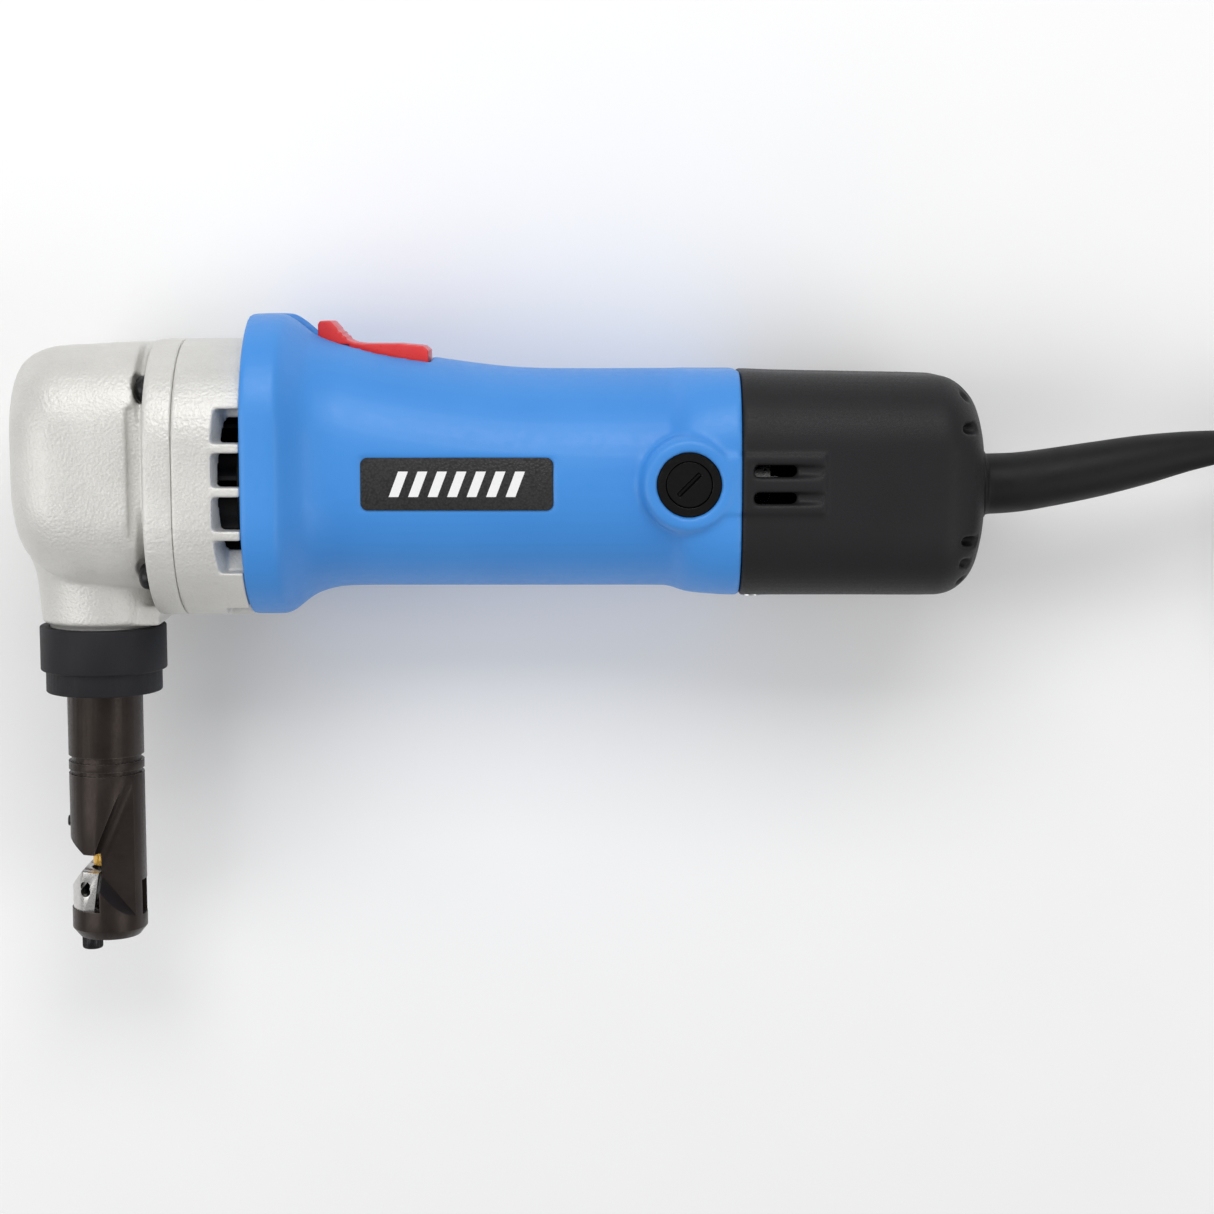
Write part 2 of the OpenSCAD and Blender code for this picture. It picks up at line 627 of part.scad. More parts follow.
module motor_housing() in_frame() color([0.2, 0.5, 0.85]) difference() {
    union() {
        loft(housing_sections);
        both_sides() translate([brush_x, 0, 0]) along_z(grip_in, boss_face, boss_d / 2);
        both_sides() block([brush_x, -7.6, grip_in], [housing_back, 7.6, boss_face]);
        along_x(housing_back - 4, rear_bearing_x + rear_bearing_w, rear_bearing_r + 2.2);
        tube_x(housing_back - 4, housing_back + 6, cover_top - cover_wall - 1.6, cover_top - cover_wall - 3.9);
    }
    along_x(flange_back - 1, band_back - 1, fan_bore / 2);
    translate([band_back - 1 - bit, 0, 0]) rotate([0, 90, 0])
        cylinder(h = 12, r1 = fan_bore / 2, r2 = grip_in);
    along_x(band_back + 8, housing_back - 4, grip_in);
    along_x(housing_back - 5, rear_bearing_x + rear_bearing_w + 1, shaft_r + 0.8);
    along_x(rear_bearing_x, rear_bearing_x + rear_bearing_w + 1, rear_bearing_r);
    at_corners(screw_at) along_x(flange_back - 1, screw_end + 0.5, screw_r + 0.03);
    // switch: the thumb trough, the slider's pocket, and the ways for its stem and rod
    block([slider_x - slider_travel - 1.2, trough_floor, -slider_w / 2 - free_gap],
        [slider_x + 4, hump_top + 1, slider_w / 2 + free_gap]);
    block([slider_x + 8.2 - slider_travel - 0.5, slider_floor, -slider_w / 2 - free_gap],
        [slider_x + slider_len + 0.6, hump_top + 1, slider_w / 2 + free_gap]);
    block([slider_x + 6, grip_in - 2, -2.6], [slider_x + 19, slider_floor + 1, 2.6]);
    block([housing_back - 5, rod_y - 0.6, -rod_w / 2 - 0.6],
        [housing_back + 8, rod_y + rod_t + 1.4, rod_w / 2 + 0.6]);
    // label recess, brush ports and wire window
    block([label_x - 0.4, -label_h / 2 - 0.4, label_face - label_t],
        [label_x + label_len + 0.4, label_h / 2 + 0.4, grip_r + 2]);
    both_sides() translate([brush_x, 0, 0]) along_z(20, boss_face + 1, 8.7);
    block([housing_back - 5, -24, -9], [housing_back + 1, -15, 9]);
    for (z = [-12, 12]) translate([housing_back + 3.5, 0, z]) along_y(-grip_r, -20, 1.3);
}
module label_plate() in_frame() color([0.22, 0.22, 0.22]) translate([0, 0, label_face - label_t])
    linear_extrude(label_t) {
        translate([label_x + 2, -label_h / 2]) square([label_len - 4, label_h]);
        translate([label_x, -label_h / 2 + 2]) square([label_len, label_h - 4]);
        for (x = [label_x + 2, label_x + label_len - 2], y = [-label_h / 2 + 2, label_h / 2 - 2])
            translate([x, y]) circle(2);
    }

// Each brush holder is a threaded insert with a square brush tube
module brush_holders() in_frame() color("darkkhaki") both_sides() translate([brush_x, 0, 0]) difference() {
    union() {
        along_z(24, boss_face - 1.4, 8.65);
        block([-6, -5, commutator_r + 1.2], [6, 5, 24.5]);
    }
    block([-4.3, -3.3, 0], [4.3, 3.3, 25.5]);
    along_z(25, boss_face, 6.3);
}
module carbon_brushes() in_frame() color("black") both_sides() translate([brush_x, 0, 0])
    block([-4.2, -3.2, brush_z], [4.2, 3.2, 20.5]);
module brush_springs() in_frame() color("silver") both_sides() translate([brush_x, 0, 0]) difference() {
    along_z(20.5, 26, 2.8);
    along_z(20, 27, 2.2);
}
module brush_caps() in_frame() color("black") both_sides() translate([brush_x, 0, 0]) difference() {
    along_z(26, boss_face - 2, 6.25);
    rotate([0, 0, 45]) block([-4, -0.6, boss_face - 3.5], [4, 0.6, boss_face]);
}

// ---- Switch ----

module switch_slider() in_frame() color("red") {
    half = slider_w / 2;
    translate([slider_x, 0, -half]) linear_extrude(slider_w) polygon([
        [0, trough_floor + 0.4], [0, hump_top - 3], [0.5, hump_top - 2], [3.4, hump_top - 2],
        [5.2, hump_top - 3.9], [5.6, hump_top - 4.9], [6.4, hump_top - 5], [6.7, hump_top - 6],
        [7.5, hump_top - 6.1], [7.9, hump_top - 7.1], [9.8, hump_top - 7.9], [12.3, hump_top - 8.2],
        [22.3, hump_top - 8.2], [slider_len - 1.5, hump_top - 8.8], [slider_len, hump_top - 10],
        [slider_len, slider_floor + free_gap], [8.4, slider_floor + free_gap],
        [8.4, trough_floor + 0.4]]);
    block([slider_x + 12, rod_y + rod_t, -2], [slider_x + 18, slider_floor + 1, 2]);
}
module switch_rod() in_frame() color("dimgray") difference() {
    union() {
        block([slider_x + 10, rod_y, -rod_w / 2], [switch_x - 0.6, rod_y + rod_t, rod_w / 2]);
        block([switch_x - 3, rod_y - 7, -rod_w / 2], [switch_x - 0.6, rod_y + 1, rod_w / 2]);
    }
    for (x = [slider_x + 30, slider_x + 70]) translate([x, 0, 0]) along_y(rod_y - 1, rod_y + 4, 1.5);
}
module switch_block() in_frame() color("ivory") {
    block([switch_x, 0, -10], [switch_x + switch_len, rod_y + rod_t - 1, 10]);
    for (z = [-6, 6]) block([switch_x + switch_len - 8, -6, z - 0.4], [switch_x + switch_len - 3, 0, z + 0.4]);
}

// ---- Rear cover and cord ----

module rear_cover() in_frame() color([0.17, 0.17, 0.18]) difference() {
    union() {
        difference() {
            loft(cover_sections);
            prism(cover_sections[1], cover_wall, housing_back - 1, cover_back - 11);
            translate([0, exit_y, 0]) along_x(cover_back - 12, cover_back - 4, 21.5);
        }
        both_sides() block([housing_back, -7.6, cover_low - 1.5], [housing_back + 22.1, 7.6, boss_face]);
        block([cover_back - 22, exit_y - 10, -12], [cover_back - 3, exit_y - cord_r, 12]);
        for (z = [-11, 11]) block([cover_back - 22, -cover_low + 1.5, z - 1], [cover_back - 12, exit_y - 9, z + 1]);
    }
    both_sides() for (y = [-3.6, 3.6])
        block([housing_back + 3.1, y - 1.6, 20], [housing_back + 21.4, y + 1.6, boss_face + 1]);
    translate([0, exit_y, 0]) along_x(cover_back - 6, cover_back + 1, 8.6);
    // vents round the rear edge
    both_sides() for (z = [3:6:21], y = [-cover_low - 1, cover_top - 8])
        block([cover_back - 9, y, z - 1.4], [cover_back - 3, y + 9, z + 1.4]);
    for (z = [-12, 12]) translate([housing_back + 3.5, 0, z]) {
        along_y(-cover_low - 1, -20, 1.6);
        along_y(-cover_low - 1, -cover_low + 1.4, 3.2);
    }
    for (z = [-8, 8]) translate([cover_back - 14, 0, z]) along_y(exit_y - 11, exit_y, 1.3);
}
module cover_screws() in_frame() color("silver") for (z = [-12, 12]) translate([housing_back + 3.5, 0, z]) {
    along_y(-cover_low + 1.3, -cover_top + cover_wall + 3.4, 1.28);
    along_y(-cover_low - 0.1, -cover_low + 1.4, 2.9);
}
module cord_clamp() in_frame() color("dimgray") difference() {
    block([cover_back - 18, exit_y + cord_r, -11], [cover_back - 10, exit_y + cord_r + 3, 11]);
    for (z = [-8, 8]) translate([cover_back - 14, 0, z]) along_y(exit_y, exit_y + cord_r + 4, 1.6);
}
module clamp_screws() in_frame() color("silver") for (z = [-8, 8]) translate([cover_back - 14, exit_y, z]) {
    along_y(-9, cord_r + 3, 1.28);
    along_y(cord_r + 3, cord_r + 5, 2.8);
}
module inner_lead() in_frame() color("black") translate([0, exit_y, 0])
    along_x(switch_x + switch_len + 2, cover_back - 6, cord_r);
module cord_sleeve() in_frame() color("black") translate([cover_back, exit_y, 0]) {
    along_x(-6, 0, 8.5);
    along_x(-6, -cover_wall - 1.2, bead_r);
    along_x(0, 1.6, bead_r);
    sweep(sleeve_path, sleeve_radii, 16);
}
module cord_lead() in_frame() color("black") translate([cover_back, exit_y, 0])
    sweep(lead_path, [for (p = lead_path) cord_r], 12);
module cord_coil() in_frame() color("black") translate(coil_centre - [0, 0, axis_h])
    rotate_extrude() translate([coil_inner, 0]) square([coil_outer - coil_inner, coil_h]);
module cord_tail() in_frame() color("black") translate(coil_centre - [0, 0, axis_h])
    sweep(tail_path, [for (p = tail_path) cord_r], 12);
module plug_body() in_frame() color("black") translate(coil_centre + plug_at - [0, 0, axis_h]) {
    intersection() {
        along_y(plug_neck, plug_neck + plug_len, plug_w / 2);
        block([-plug_w, 0, -plug_t / 2], [plug_w, plug_neck + plug_len, plug_t / 2]);
    }
    cone_y(0, plug_neck + 4, 5.2, 9);
}
module plug_pins() in_frame() color("silver") translate(coil_centre + plug_at - [0, 0, axis_h])
    for (x = [-pin_pitch / 2, pin_pitch / 2]) translate([x, 0, 0])
        along_y(plug_neck + plug_len, plug_neck + plug_len + pin_len, plug_pin_r);

gear_housing();
inner_plate();
plate_screws();
crank_bearing();
crank_bush();
counter_bush();
counter_bearing();
crankshaft();
crank_roller();
crank_gear();
countershaft();
ram();
ram_bush();
punch();
lock_ring();
die_carrier();
die();
die_screw();
carrier_set_screw();
motor_flange();
housing_screws();
front_bearing();
armature_shaft();
armature_core();
armature_windings();
commutator();
cooling_fan();
fan_baffle();
field_core();
field_coils();
motor_housing();
label_plate();
brush_holders();
carbon_brushes();
brush_springs();
brush_caps();
rear_bearing();
switch_slider();
switch_rod();
switch_block();
rear_cover();
cover_screws();
cord_clamp();
clamp_screws();
inner_lead();
cord_sleeve();
cord_lead();
cord_coil();
cord_tail();
plug_body();
plug_pins();
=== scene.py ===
"""Corded sheet metal nibbler lying on its side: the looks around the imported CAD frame."""

import json
import math

import bmesh
import bpy
from mathutils import Matrix, Vector

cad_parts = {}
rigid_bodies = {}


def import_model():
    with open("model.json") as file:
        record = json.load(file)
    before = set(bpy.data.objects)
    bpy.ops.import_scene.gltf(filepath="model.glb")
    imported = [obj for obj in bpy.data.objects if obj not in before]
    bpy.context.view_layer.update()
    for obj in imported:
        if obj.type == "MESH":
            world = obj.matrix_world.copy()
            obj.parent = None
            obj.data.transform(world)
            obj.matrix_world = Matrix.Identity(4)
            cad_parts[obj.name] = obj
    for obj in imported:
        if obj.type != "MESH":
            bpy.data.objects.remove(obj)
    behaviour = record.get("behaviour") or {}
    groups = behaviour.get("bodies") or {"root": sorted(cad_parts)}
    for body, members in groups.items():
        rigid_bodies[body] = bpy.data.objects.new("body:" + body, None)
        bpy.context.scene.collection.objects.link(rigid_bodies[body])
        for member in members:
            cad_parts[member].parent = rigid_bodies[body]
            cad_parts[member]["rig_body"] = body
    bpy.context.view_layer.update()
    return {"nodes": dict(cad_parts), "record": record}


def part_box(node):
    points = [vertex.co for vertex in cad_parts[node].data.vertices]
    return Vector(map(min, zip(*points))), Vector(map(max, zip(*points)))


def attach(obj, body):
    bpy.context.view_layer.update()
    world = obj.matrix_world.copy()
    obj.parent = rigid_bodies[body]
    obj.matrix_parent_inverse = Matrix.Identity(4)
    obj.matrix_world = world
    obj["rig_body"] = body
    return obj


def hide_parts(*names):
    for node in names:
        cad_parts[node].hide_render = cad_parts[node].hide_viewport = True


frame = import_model()
nodes = frame["nodes"]

# ---------------------------------------------------------------- the tool's own axes
# Sizes below are in millimetres from the point where the nose axis meets the motor axis:
# u runs along the motor to the cord, v towards the switch, w up off the table.
MM = 0.001


def middle(node):
    low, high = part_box(node)
    return (low + high) / 2


HEAD_CENTRE = Vector((middle("ram_bush").x, middle("front_bearing").y, middle("front_bearing").z))


def place(u, v, w=0.0):
    return HEAD_CENTRE + Vector((u, v, w)) * MM


def span(node):
    """A CAD node's box in the tool's own axes: (low, high)."""
    low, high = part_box(node)
    return (low - HEAD_CENTRE) / MM, (high - HEAD_CENTRE) / MM


# ---------------------------------------------------------------- camera, light and table
# A long lens looks straight down on the tool, tipped a little towards the switch side.
scene = bpy.context.scene
LENS_MM = 74.1
VIEW_DISTANCE = 0.700
VIEW_TILT = math.radians(7.0)
AIM = place(141.2, -36.6)

camera = bpy.data.objects.new("camera", bpy.data.cameras.new("camera"))
scene.collection.objects.link(camera)
camera.data.lens = LENS_MM
camera.data.sensor_width = 36.0
camera.data.clip_start = 0.01
camera.location = AIM + VIEW_DISTANCE * Vector((0, math.sin(VIEW_TILT), math.cos(VIEW_TILT)))
camera.rotation_euler = (-VIEW_TILT, 0, 0)
scene.camera = camera


def area_light(name, at, aim, size, watts, colour=(1, 1, 1)):
    light = bpy.data.objects.new(name, bpy.data.lights.new(name, "AREA"))
    light.data.shape = "RECTANGLE"
    light.data.size, light.data.size_y = size
    light.data.energy = watts
    light.data.color = colour
    light.location = at
    light.rotation_euler = (Vector(aim) - Vector(at)).to_track_quat("-Z", "Y").to_euler()
    scene.collection.objects.link(light)


area_light("switch_side_light", (0.0, 0.75, 0.85), (0, 0, 0.03), (1.0, 0.5), 6.5)
area_light("head_side_light", (-0.75, -0.1, 0.75), (0, 0, 0.03), (0.6, 0.8), 3)
area_light("cord_side_light", (0.8, -0.3, 0.8), (0.05, 0, 0.03), (0.7, 0.6), 2.4)

world = bpy.data.worlds.new("studio")
world.use_nodes = True
world.node_tree.nodes["Background"].inputs["Color"].default_value = (1, 1, 1, 1)
world.node_tree.nodes["Background"].inputs["Strength"].default_value = 0.40
scene.world = world
scene.view_settings.view_transform = "Standard"


# ---------------------------------------------------------------- how finishes are written
class Wire:
    """A number in a material: arithmetic on it adds Math nodes."""

    def __init__(self, finish, socket):
        self.finish, self.socket = finish, socket

    def math(self, operation, other=None, swap=False):
        pair = [self, other] if not swap else [other, self]
        inputs = {i: value for i, value in enumerate(pair) if value is not None}
        return self.finish.add("ShaderNodeMath", {"operation": operation}, inputs)

    def __add__(self, other):
        return self.math("ADD", other)

    def __sub__(self, other):
        return self.math("SUBTRACT", other)

    def __rsub__(self, other):
        return self.math("SUBTRACT", other, swap=True)

    def __mul__(self, other):
        return self.math("MULTIPLY", other)

    def __pow__(self, other):
        return self.math("POWER", other)

    __radd__, __rmul__ = __add__, __mul__


class Finish:
    """A material around one Principled shader. Sizes of grain are in millimetres."""

    def __init__(self, name, **fixed):
        self.material = bpy.data.materials.new(name)
        self.material.use_nodes = True
        self.tree = self.material.node_tree
        self.shader = self.tree.nodes["Principled BSDF"]
        self.where = self.add("ShaderNodeTexCoord", out="Object")
        for socket, value in fixed.items():
            self.shader.inputs[socket.replace("_", " ")].default_value = value

    def add(self, kind, settings=None, inputs=None, out=0):
        node = self.tree.nodes.new(kind)
        for name, value in (settings or {}).items():
            if name == "stops":
                self.set_stops(node.color_ramp, value)
            else:
                setattr(node, name, value)
        for key, value in (inputs or {}).items():
            if isinstance(value, Wire):
                self.tree.links.new(value.socket, node.inputs[key])
            else:
                node.inputs[key].default_value = value
        return Wire(self, node.outputs[out])

    @staticmethod
    def set_stops(ramp, stops):
        for i, (position, level) in enumerate(stops):
            stop = ramp.elements[i] if i < 2 else ramp.elements.new(position)
            stop.position = position
            stop.color = (level, level, level, 1)

    def grain(self, size, detail=2.0, rough=0.5):
        return self.add("ShaderNodeTexNoise", {},
                        {"Vector": self.where, "Scale": 1 / (size * MM), "Detail": detail,
                         "Roughness": rough})

    def cells(self, size, feature="F1"):
        return self.add("ShaderNodeTexVoronoi", {"feature": feature},
                        {"Vector": self.where, "Scale": 1 / (size * MM)})

    def ramp(self, value, *stops):
        return self.add("ShaderNodeValToRGB", {"stops": stops}, {"Fac": value})

    def mix(self, factor, a, b):
        colours = {name: value if isinstance(value, Wire) else (*value, 1)
                   for name, value in ((6, a), (7, b))}
        return self.add("ShaderNodeMix", {"data_type": "RGBA"}, {0: factor, **colours}, out=2)

    def worn_edges(self, radius, low=0.1, high=0.5):
        """1 on sharp outer edges, 0 on open faces."""
        turned = self.add("ShaderNodeBevel", {"samples": 4}, {"Radius": radius * MM})
        flat = self.add("ShaderNodeNewGeometry", out="Normal")
        along = self.add("ShaderNodeVectorMath", {"operation": "DOT_PRODUCT"},
                         {0: turned, 1: flat}, out="Value")
        return self.ramp(1 - along, (low, 0), (high, 1))

    def set(self, **sockets):
        for name, wire in sockets.items():
            self.tree.links.new(wire.socket, self.shader.inputs[name.replace("_", " ")])
        return self

    def bump(self, height, depth, strength=1.0):
        wire = self.add("ShaderNodeBump", {},
                        {"Height": height, "Distance": depth * MM, "Strength": strength})
        return self.set(Normal=wire)


table = Finish("table_top", Roughness=0.6)
table.set(Base_Color=table.mix(table.grain(40), (0.93, 0.93, 0.93), (0.95, 0.95, 0.95)))
bpy.ops.mesh.primitive_plane_add(size=6, location=(0, 0, -0.0002))
floor = bpy.context.object
floor.name = "table_top"
floor.data.materials.append(table.material)


# ---------------------------------------------------------------- mains cord
# A black rubber-sheathed flex of 8 mm. It drops from the sleeve to the table, lies there in a
# neat coil of three turns side by side in two layers, and ends in a moulded plug on the coil.
CORD_D = 8.0
COIL_R = 44.0
cover_end = span("rear_cover")[1].x
CORD_EXIT = Vector((cover_end, -2.1, 0))
TABLE_W = -HEAD_CENTRE.z / MM
COIL_CENTRE = Vector((cover_end + 144, CORD_EXIT.y + 13 - COIL_R - CORD_D, TABLE_W))
SLEEVE_PATH = [(0, 0, 0), (10, 0.5, 0), (18, 1.6, 0), (32, 4, -0.4), (46, 6.7, -1.2), (57.5, 8.8, -2.3),
               (68, 10.2, -3.8)]
LEAD_PATH = [(68, 10.2, -3.8), (74, 10.8, -5), (82, 11.4, -7.6), (90, 11.9, -11.4), (98, 12.3, -16.2),
             (106, 12.6, -21.4), (114, 12.8, -26.4), (122, 12.9, -30.6), (130, 13, -33.6), (138, 13, -35.2),
             (144, 13, -35.5)]
TAIL_R = 33.0
TAIL_LOW = -7.0
TAIL_PATH = [(COIL_R, 0, 20), (COIL_R, TAIL_LOW / 2, 20)]
TAIL_PATH += [(COIL_R - TAIL_R + TAIL_R * math.cos(math.radians(15 * i)),
               TAIL_LOW - TAIL_R * math.sin(math.radians(15 * i)),
               20 + 4.5 * (1 - math.cos(math.radians(15 * i)))) for i in range(13)]


def coil_points():
    """The coil's turns, wound clockwise from the outside in, then up a layer and out again."""
    steps = 36
    radii = [COIL_R + CORD_D, COIL_R, COIL_R - CORD_D, COIL_R - CORD_D, COIL_R, COIL_R + CORD_D, COIL_R]
    heights = [CORD_D / 2] * 3 + [CORD_D * 1.5] * 3 + [CORD_D * 2.5]
    points = []
    for i in range(1, 6 * steps + steps // 4):
        turn, part = divmod(i / steps, 1)
        turn = int(turn)
        # each turn keeps its radius, then crosses to the next in its last third
        cross = max(0.0, (part - 0.68) / 0.32)
        cross = cross * cross * (3 - 2 * cross)
        radius = radii[turn] + (radii[min(turn + 1, 6)] - radii[turn]) * cross
        height = heights[turn] + (heights[min(turn + 1, 6)] - heights[turn]) * cross
        angle = math.radians(90) - 2 * math.pi * i / steps
        points.append(Vector((radius * math.cos(angle), radius * math.sin(angle), height)))
    return points


cord_route = [CORD_EXIT + Vector(p) for p in LEAD_PATH]
cord_route += [COIL_CENTRE + p for p in coil_points()]
cord_route += [COIL_CENTRE + Vector(p) for p in TAIL_PATH]
cord_route = [place(*p) for p in cord_route]

rubber = Finish("cable_rubber", Roughness=0.5, Specular_IOR_Level=0.18)
dust = rubber.grain(6, 4)
rubber.set(Base_Color=rubber.mix(dust, (0.007, 0.007, 0.008), (0.015, 0.015, 0.016)),
           Roughness=rubber.ramp(dust, (0.3, 0.42), (0.7, 0.56)))
rubber.bump(rubber.grain(0.5, 3), 0.05)


def link(name, mesh, finish, smooth=True):
    """Puts a mesh in the scene as a piece with one finish."""
    piece = bpy.data.objects.new(name, mesh)
    scene.collection.objects.link(piece)
    mesh.materials.clear()
    mesh.materials.append(finish.material)
    mesh.shade_smooth() if smooth else mesh.shade_flat()
    return piece


def cord_piece():
    curve = bpy.data.curves.new("mains_cord", "CURVE")
    curve.dimensions = "3D"
    curve.bevel_depth = CORD_D / 2 * MM
    curve.bevel_resolution = 5
    curve.resolution_u = 3
    curve.use_fill_caps = True
    line = curve.splines.new("NURBS")
    line.points.add(len(cord_route) - 1)
    for point, at in zip(line.points, cord_route):
        point.co = (*at, 1)
    line.order_u = 3
    line.use_endpoint_u = True
    piece = bpy.data.objects.new("mains_cord", curve)
    scene.collection.objects.link(piece)
    curve.materials.append(rubber.material)
    return piece


mains_cord = cord_piece()
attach(mains_cord, "body")
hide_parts("cord_lead", "cord_coil", "cord_tail")


# ---------------------------------------------------------------- cord sleeve
# A tapered rubber strain relief. Its flange sits inside the rear cover and its bead outside.
def smooth_rows(rows, per_gap):
    """More rows between the given ones, on a Catmull-Rom curve through them all."""
    out = []
    for i in range(len(rows) - 1):
        before, a, b, after = rows[max(i - 1, 0)], rows[i], rows[i + 1], rows[min(i + 2, len(rows) - 1)]
        gap = b[0] - a[0]
        for k in range(per_gap):
            t = k / per_gap
            row = []
            for p0, p1, p2, p3 in zip(before, a, b, after):
                m1 = (p2 - p0) * gap / max(b[0] - before[0], 1e-6)
                m2 = (p3 - p1) * gap / max(after[0] - a[0], 1e-6)
                row.append((2 * t**3 - 3 * t**2 + 1) * p1 + (t**3 - 2 * t**2 + t) * m1
                           + (3 * t**2 - 2 * t**3) * p2 + (t**3 - t**2) * m2)
            out.append(row)
    return out + [list(rows[-1])]


def skin(rings):
    """A closed mesh over rings of points in the tool's axes."""
    mesh = bpy.data.meshes.new("skin")
    count = len(rings[0])
    points = [place(*p) for ring in rings for p in ring]
    faces = [tuple(reversed(range(count))), tuple(range((len(rings) - 1) * count, len(rings) * count))]
    for i in range(len(rings) - 1):
        for k in range(count):
            a, d = i * count + k, i * count + (k + 1) % count
            faces.append((a, d, d + count, a + count))
    mesh.from_pydata(points, [], faces)
    return mesh


def circle_at(centre, way, radius, count):
    side = Vector((0, 0, 1)).cross(way).normalized()
    up = way.cross(side).normalized()
    turns = [2 * math.pi * k / count for k in range(count)]
    return [centre + radius * (math.cos(t) * side + math.sin(t) * up) for t in turns]


def sleeve_mesh():
    radii = (8.5, 8.3, 8.1, 7.7, 6.9, 5.7, 4.6)
    rows = smooth_rows([(*p, r) for p, r in zip(SLEEVE_PATH, radii)], 8)
    spots = [CORD_EXIT + Vector(row[:3]) for row in rows]
    start = Vector((1, 0, 0))
    rings = []
    # inner flange and neck through the cover's wall, then the outer bead
    for u, r in ((-6, 9.3), (-3.8, 9.3), (-3.7, 8.45), (-0.2, 8.45), (0, 9.0), (0.3, 9.45), (1.2, 9.5),
                 (1.6, 9.2), (1.8, 8.6)):
        rings.append(circle_at(CORD_EXIT + Vector((u, 0, 0)), start, r, 48))
    for i in range(1, len(spots)):
        if rows[i][0] <= 2:
            continue
        way = (spots[min(i + 1, len(spots) - 1)] - spots[i - 1]).normalized()
        rings.append(circle_at(spots[i], way, rows[i][3], 48))
    rings.append(circle_at(spots[-1], way, CORD_D / 2 + 0.1, 48))
    return skin(rings)


sleeve = link("cord_sleeve_rubber", sleeve_mesh(), rubber)
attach(sleeve, "body")
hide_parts("cord_sleeve")


# ---------------------------------------------------------------- bevelled copies of CAD solids
# Turned and milled pieces keep their CAD shape, with the sharp edges broken as on the real part.
def own_copy(node, name):
    """A merged copy of a CAD node's mesh, with flat faces joined back into one."""
    mesh = nodes[node].data.copy()
    mesh.name = name
    work = bmesh.new()
    work.from_mesh(mesh)
    bmesh.ops.remove_doubles(work, verts=work.verts, dist=1e-6)
    bmesh.ops.dissolve_limit(work, angle_limit=math.radians(1.0), verts=work.verts, edges=work.edges)
    work.to_mesh(mesh)
    work.free()
    return mesh


def applied(piece, name=None):
    """The piece's mesh with its modifiers applied."""
    bpy.context.view_layer.update()
    shape = bpy.data.meshes.new_from_object(piece.evaluated_get(bpy.context.evaluated_depsgraph_get()))
    piece.modifiers.clear()
    old = piece.data
    piece.data = shape
    bpy.data.meshes.remove(old)
    if name:
        piece.name = name
    return piece


def broken_edges(node, name, finish, width=0.25, segments=2, angle=32):
    """A bevelled copy that stands for the CAD node."""
    piece = link(name, own_copy(node, name), finish)
    bevel = piece.modifiers.new("edges", "BEVEL")
    bevel.width = width * MM
    bevel.segments = segments
    bevel.limit_method = "ANGLE"
    bevel.angle_limit = math.radians(angle)
    bevel.harden_normals = True
    bevel.use_clamp_overlap = True
    applied(piece)
    piece.data.shade_smooth()
    piece.data.set_sharp_from_angle(angle=math.radians(35))
    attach(piece, nodes[node]["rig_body"])
    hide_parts(node)
    return piece


# ---------------------------------------------------------------- plug
# A black moulded two-pin mains plug, with a waisted grip and plated pins.
black = Finish("black_moulding", Roughness=0.5, Specular_IOR_Level=0.22)
spark = black.grain(0.45, 3, 0.6)
cloud = black.grain(25, 3)
black.set(Base_Color=black.mix(cloud, (0.011, 0.011, 0.012), (0.017, 0.017, 0.019)),
          Roughness=black.ramp(spark, (0.3, 0.42), (0.7, 0.60)))
black.bump(spark, 0.05)

plated = Finish("plug_plating", Metallic=1.0, Roughness=0.2)
plated.set(Base_Color=plated.mix(plated.grain(3, 3), (0.70, 0.69, 0.66), (0.78, 0.77, 0.74)),
           Roughness=plated.ramp(plated.grain(1.5, 4), (0.3, 0.14), (0.7, 0.3)))
plug = broken_edges("plug_body", "plug_moulding", black, 1.6, 4)
pins = broken_edges("plug_pins", "plug_pin_pair", plated, 0.9, 4)




# ---------------------------------------------------------------- gear housing casting
# One sand-textured aluminium casting: a rounded barrel, a square rear flange and a neck that
# runs down into the nose. Its cavities hold the crank, the ram and the gears.
def joined(mesh):
    """Turns a closed mesh's faces outwards."""
    work = bmesh.new()
    work.from_mesh(mesh)
    bmesh.ops.recalc_face_normals(work, faces=work.faces)
    work.to_mesh(mesh)
    work.free()
    return mesh


def rounded_ring(u, top, low, half, corner, steps=14):
    """Points round a rounded rectangle across the motor axis."""
    corner = min(corner, 0.98 * half, 0.49 * (top - low))
    ring = []
    for quarter in range(4):
        v = top - corner if quarter in (0, 3) else low + corner
        w = half - corner if quarter < 2 else corner - half
        for k in range(steps + 1):
            turn = math.pi / 2 * (quarter + k / steps)
            ring.append((u, v + corner * math.cos(turn), w + corner * math.sin(turn)))
    return ring


def loft(rows, per_gap=5):
    """A closed body through rows of (u, top, bottom, half width, corner radius)."""
    return joined(skin([rounded_ring(*row) for row in smooth_rows(rows, per_gap)]))


AXES = {"u": (0, 1, 2), "v": (1, 2, 0), "w": (2, 0, 1)}


def turned(axis, rows, centre=(0, 0, 0), count=72):
    """A body of rows (distance along the axis, radius), turned round that axis."""
    along, first, second = AXES[axis]
    rings = []
    for at, radius in rows:
        ring = []
        for k in range(count):
            turn = 2 * math.pi * k / count
            point = [0, 0, 0]
            point[along] = at + centre[along]
            point[first] = centre[first] + radius * math.cos(turn)
            point[second] = centre[second] + radius * math.sin(turn)
            ring.append(tuple(point))
        rings.append(ring)
    return joined(skin(rings))


def rod(axis, a, b, radius, centre=(0, 0, 0)):
    return turned(axis, [(a, radius), (b, radius)], centre)


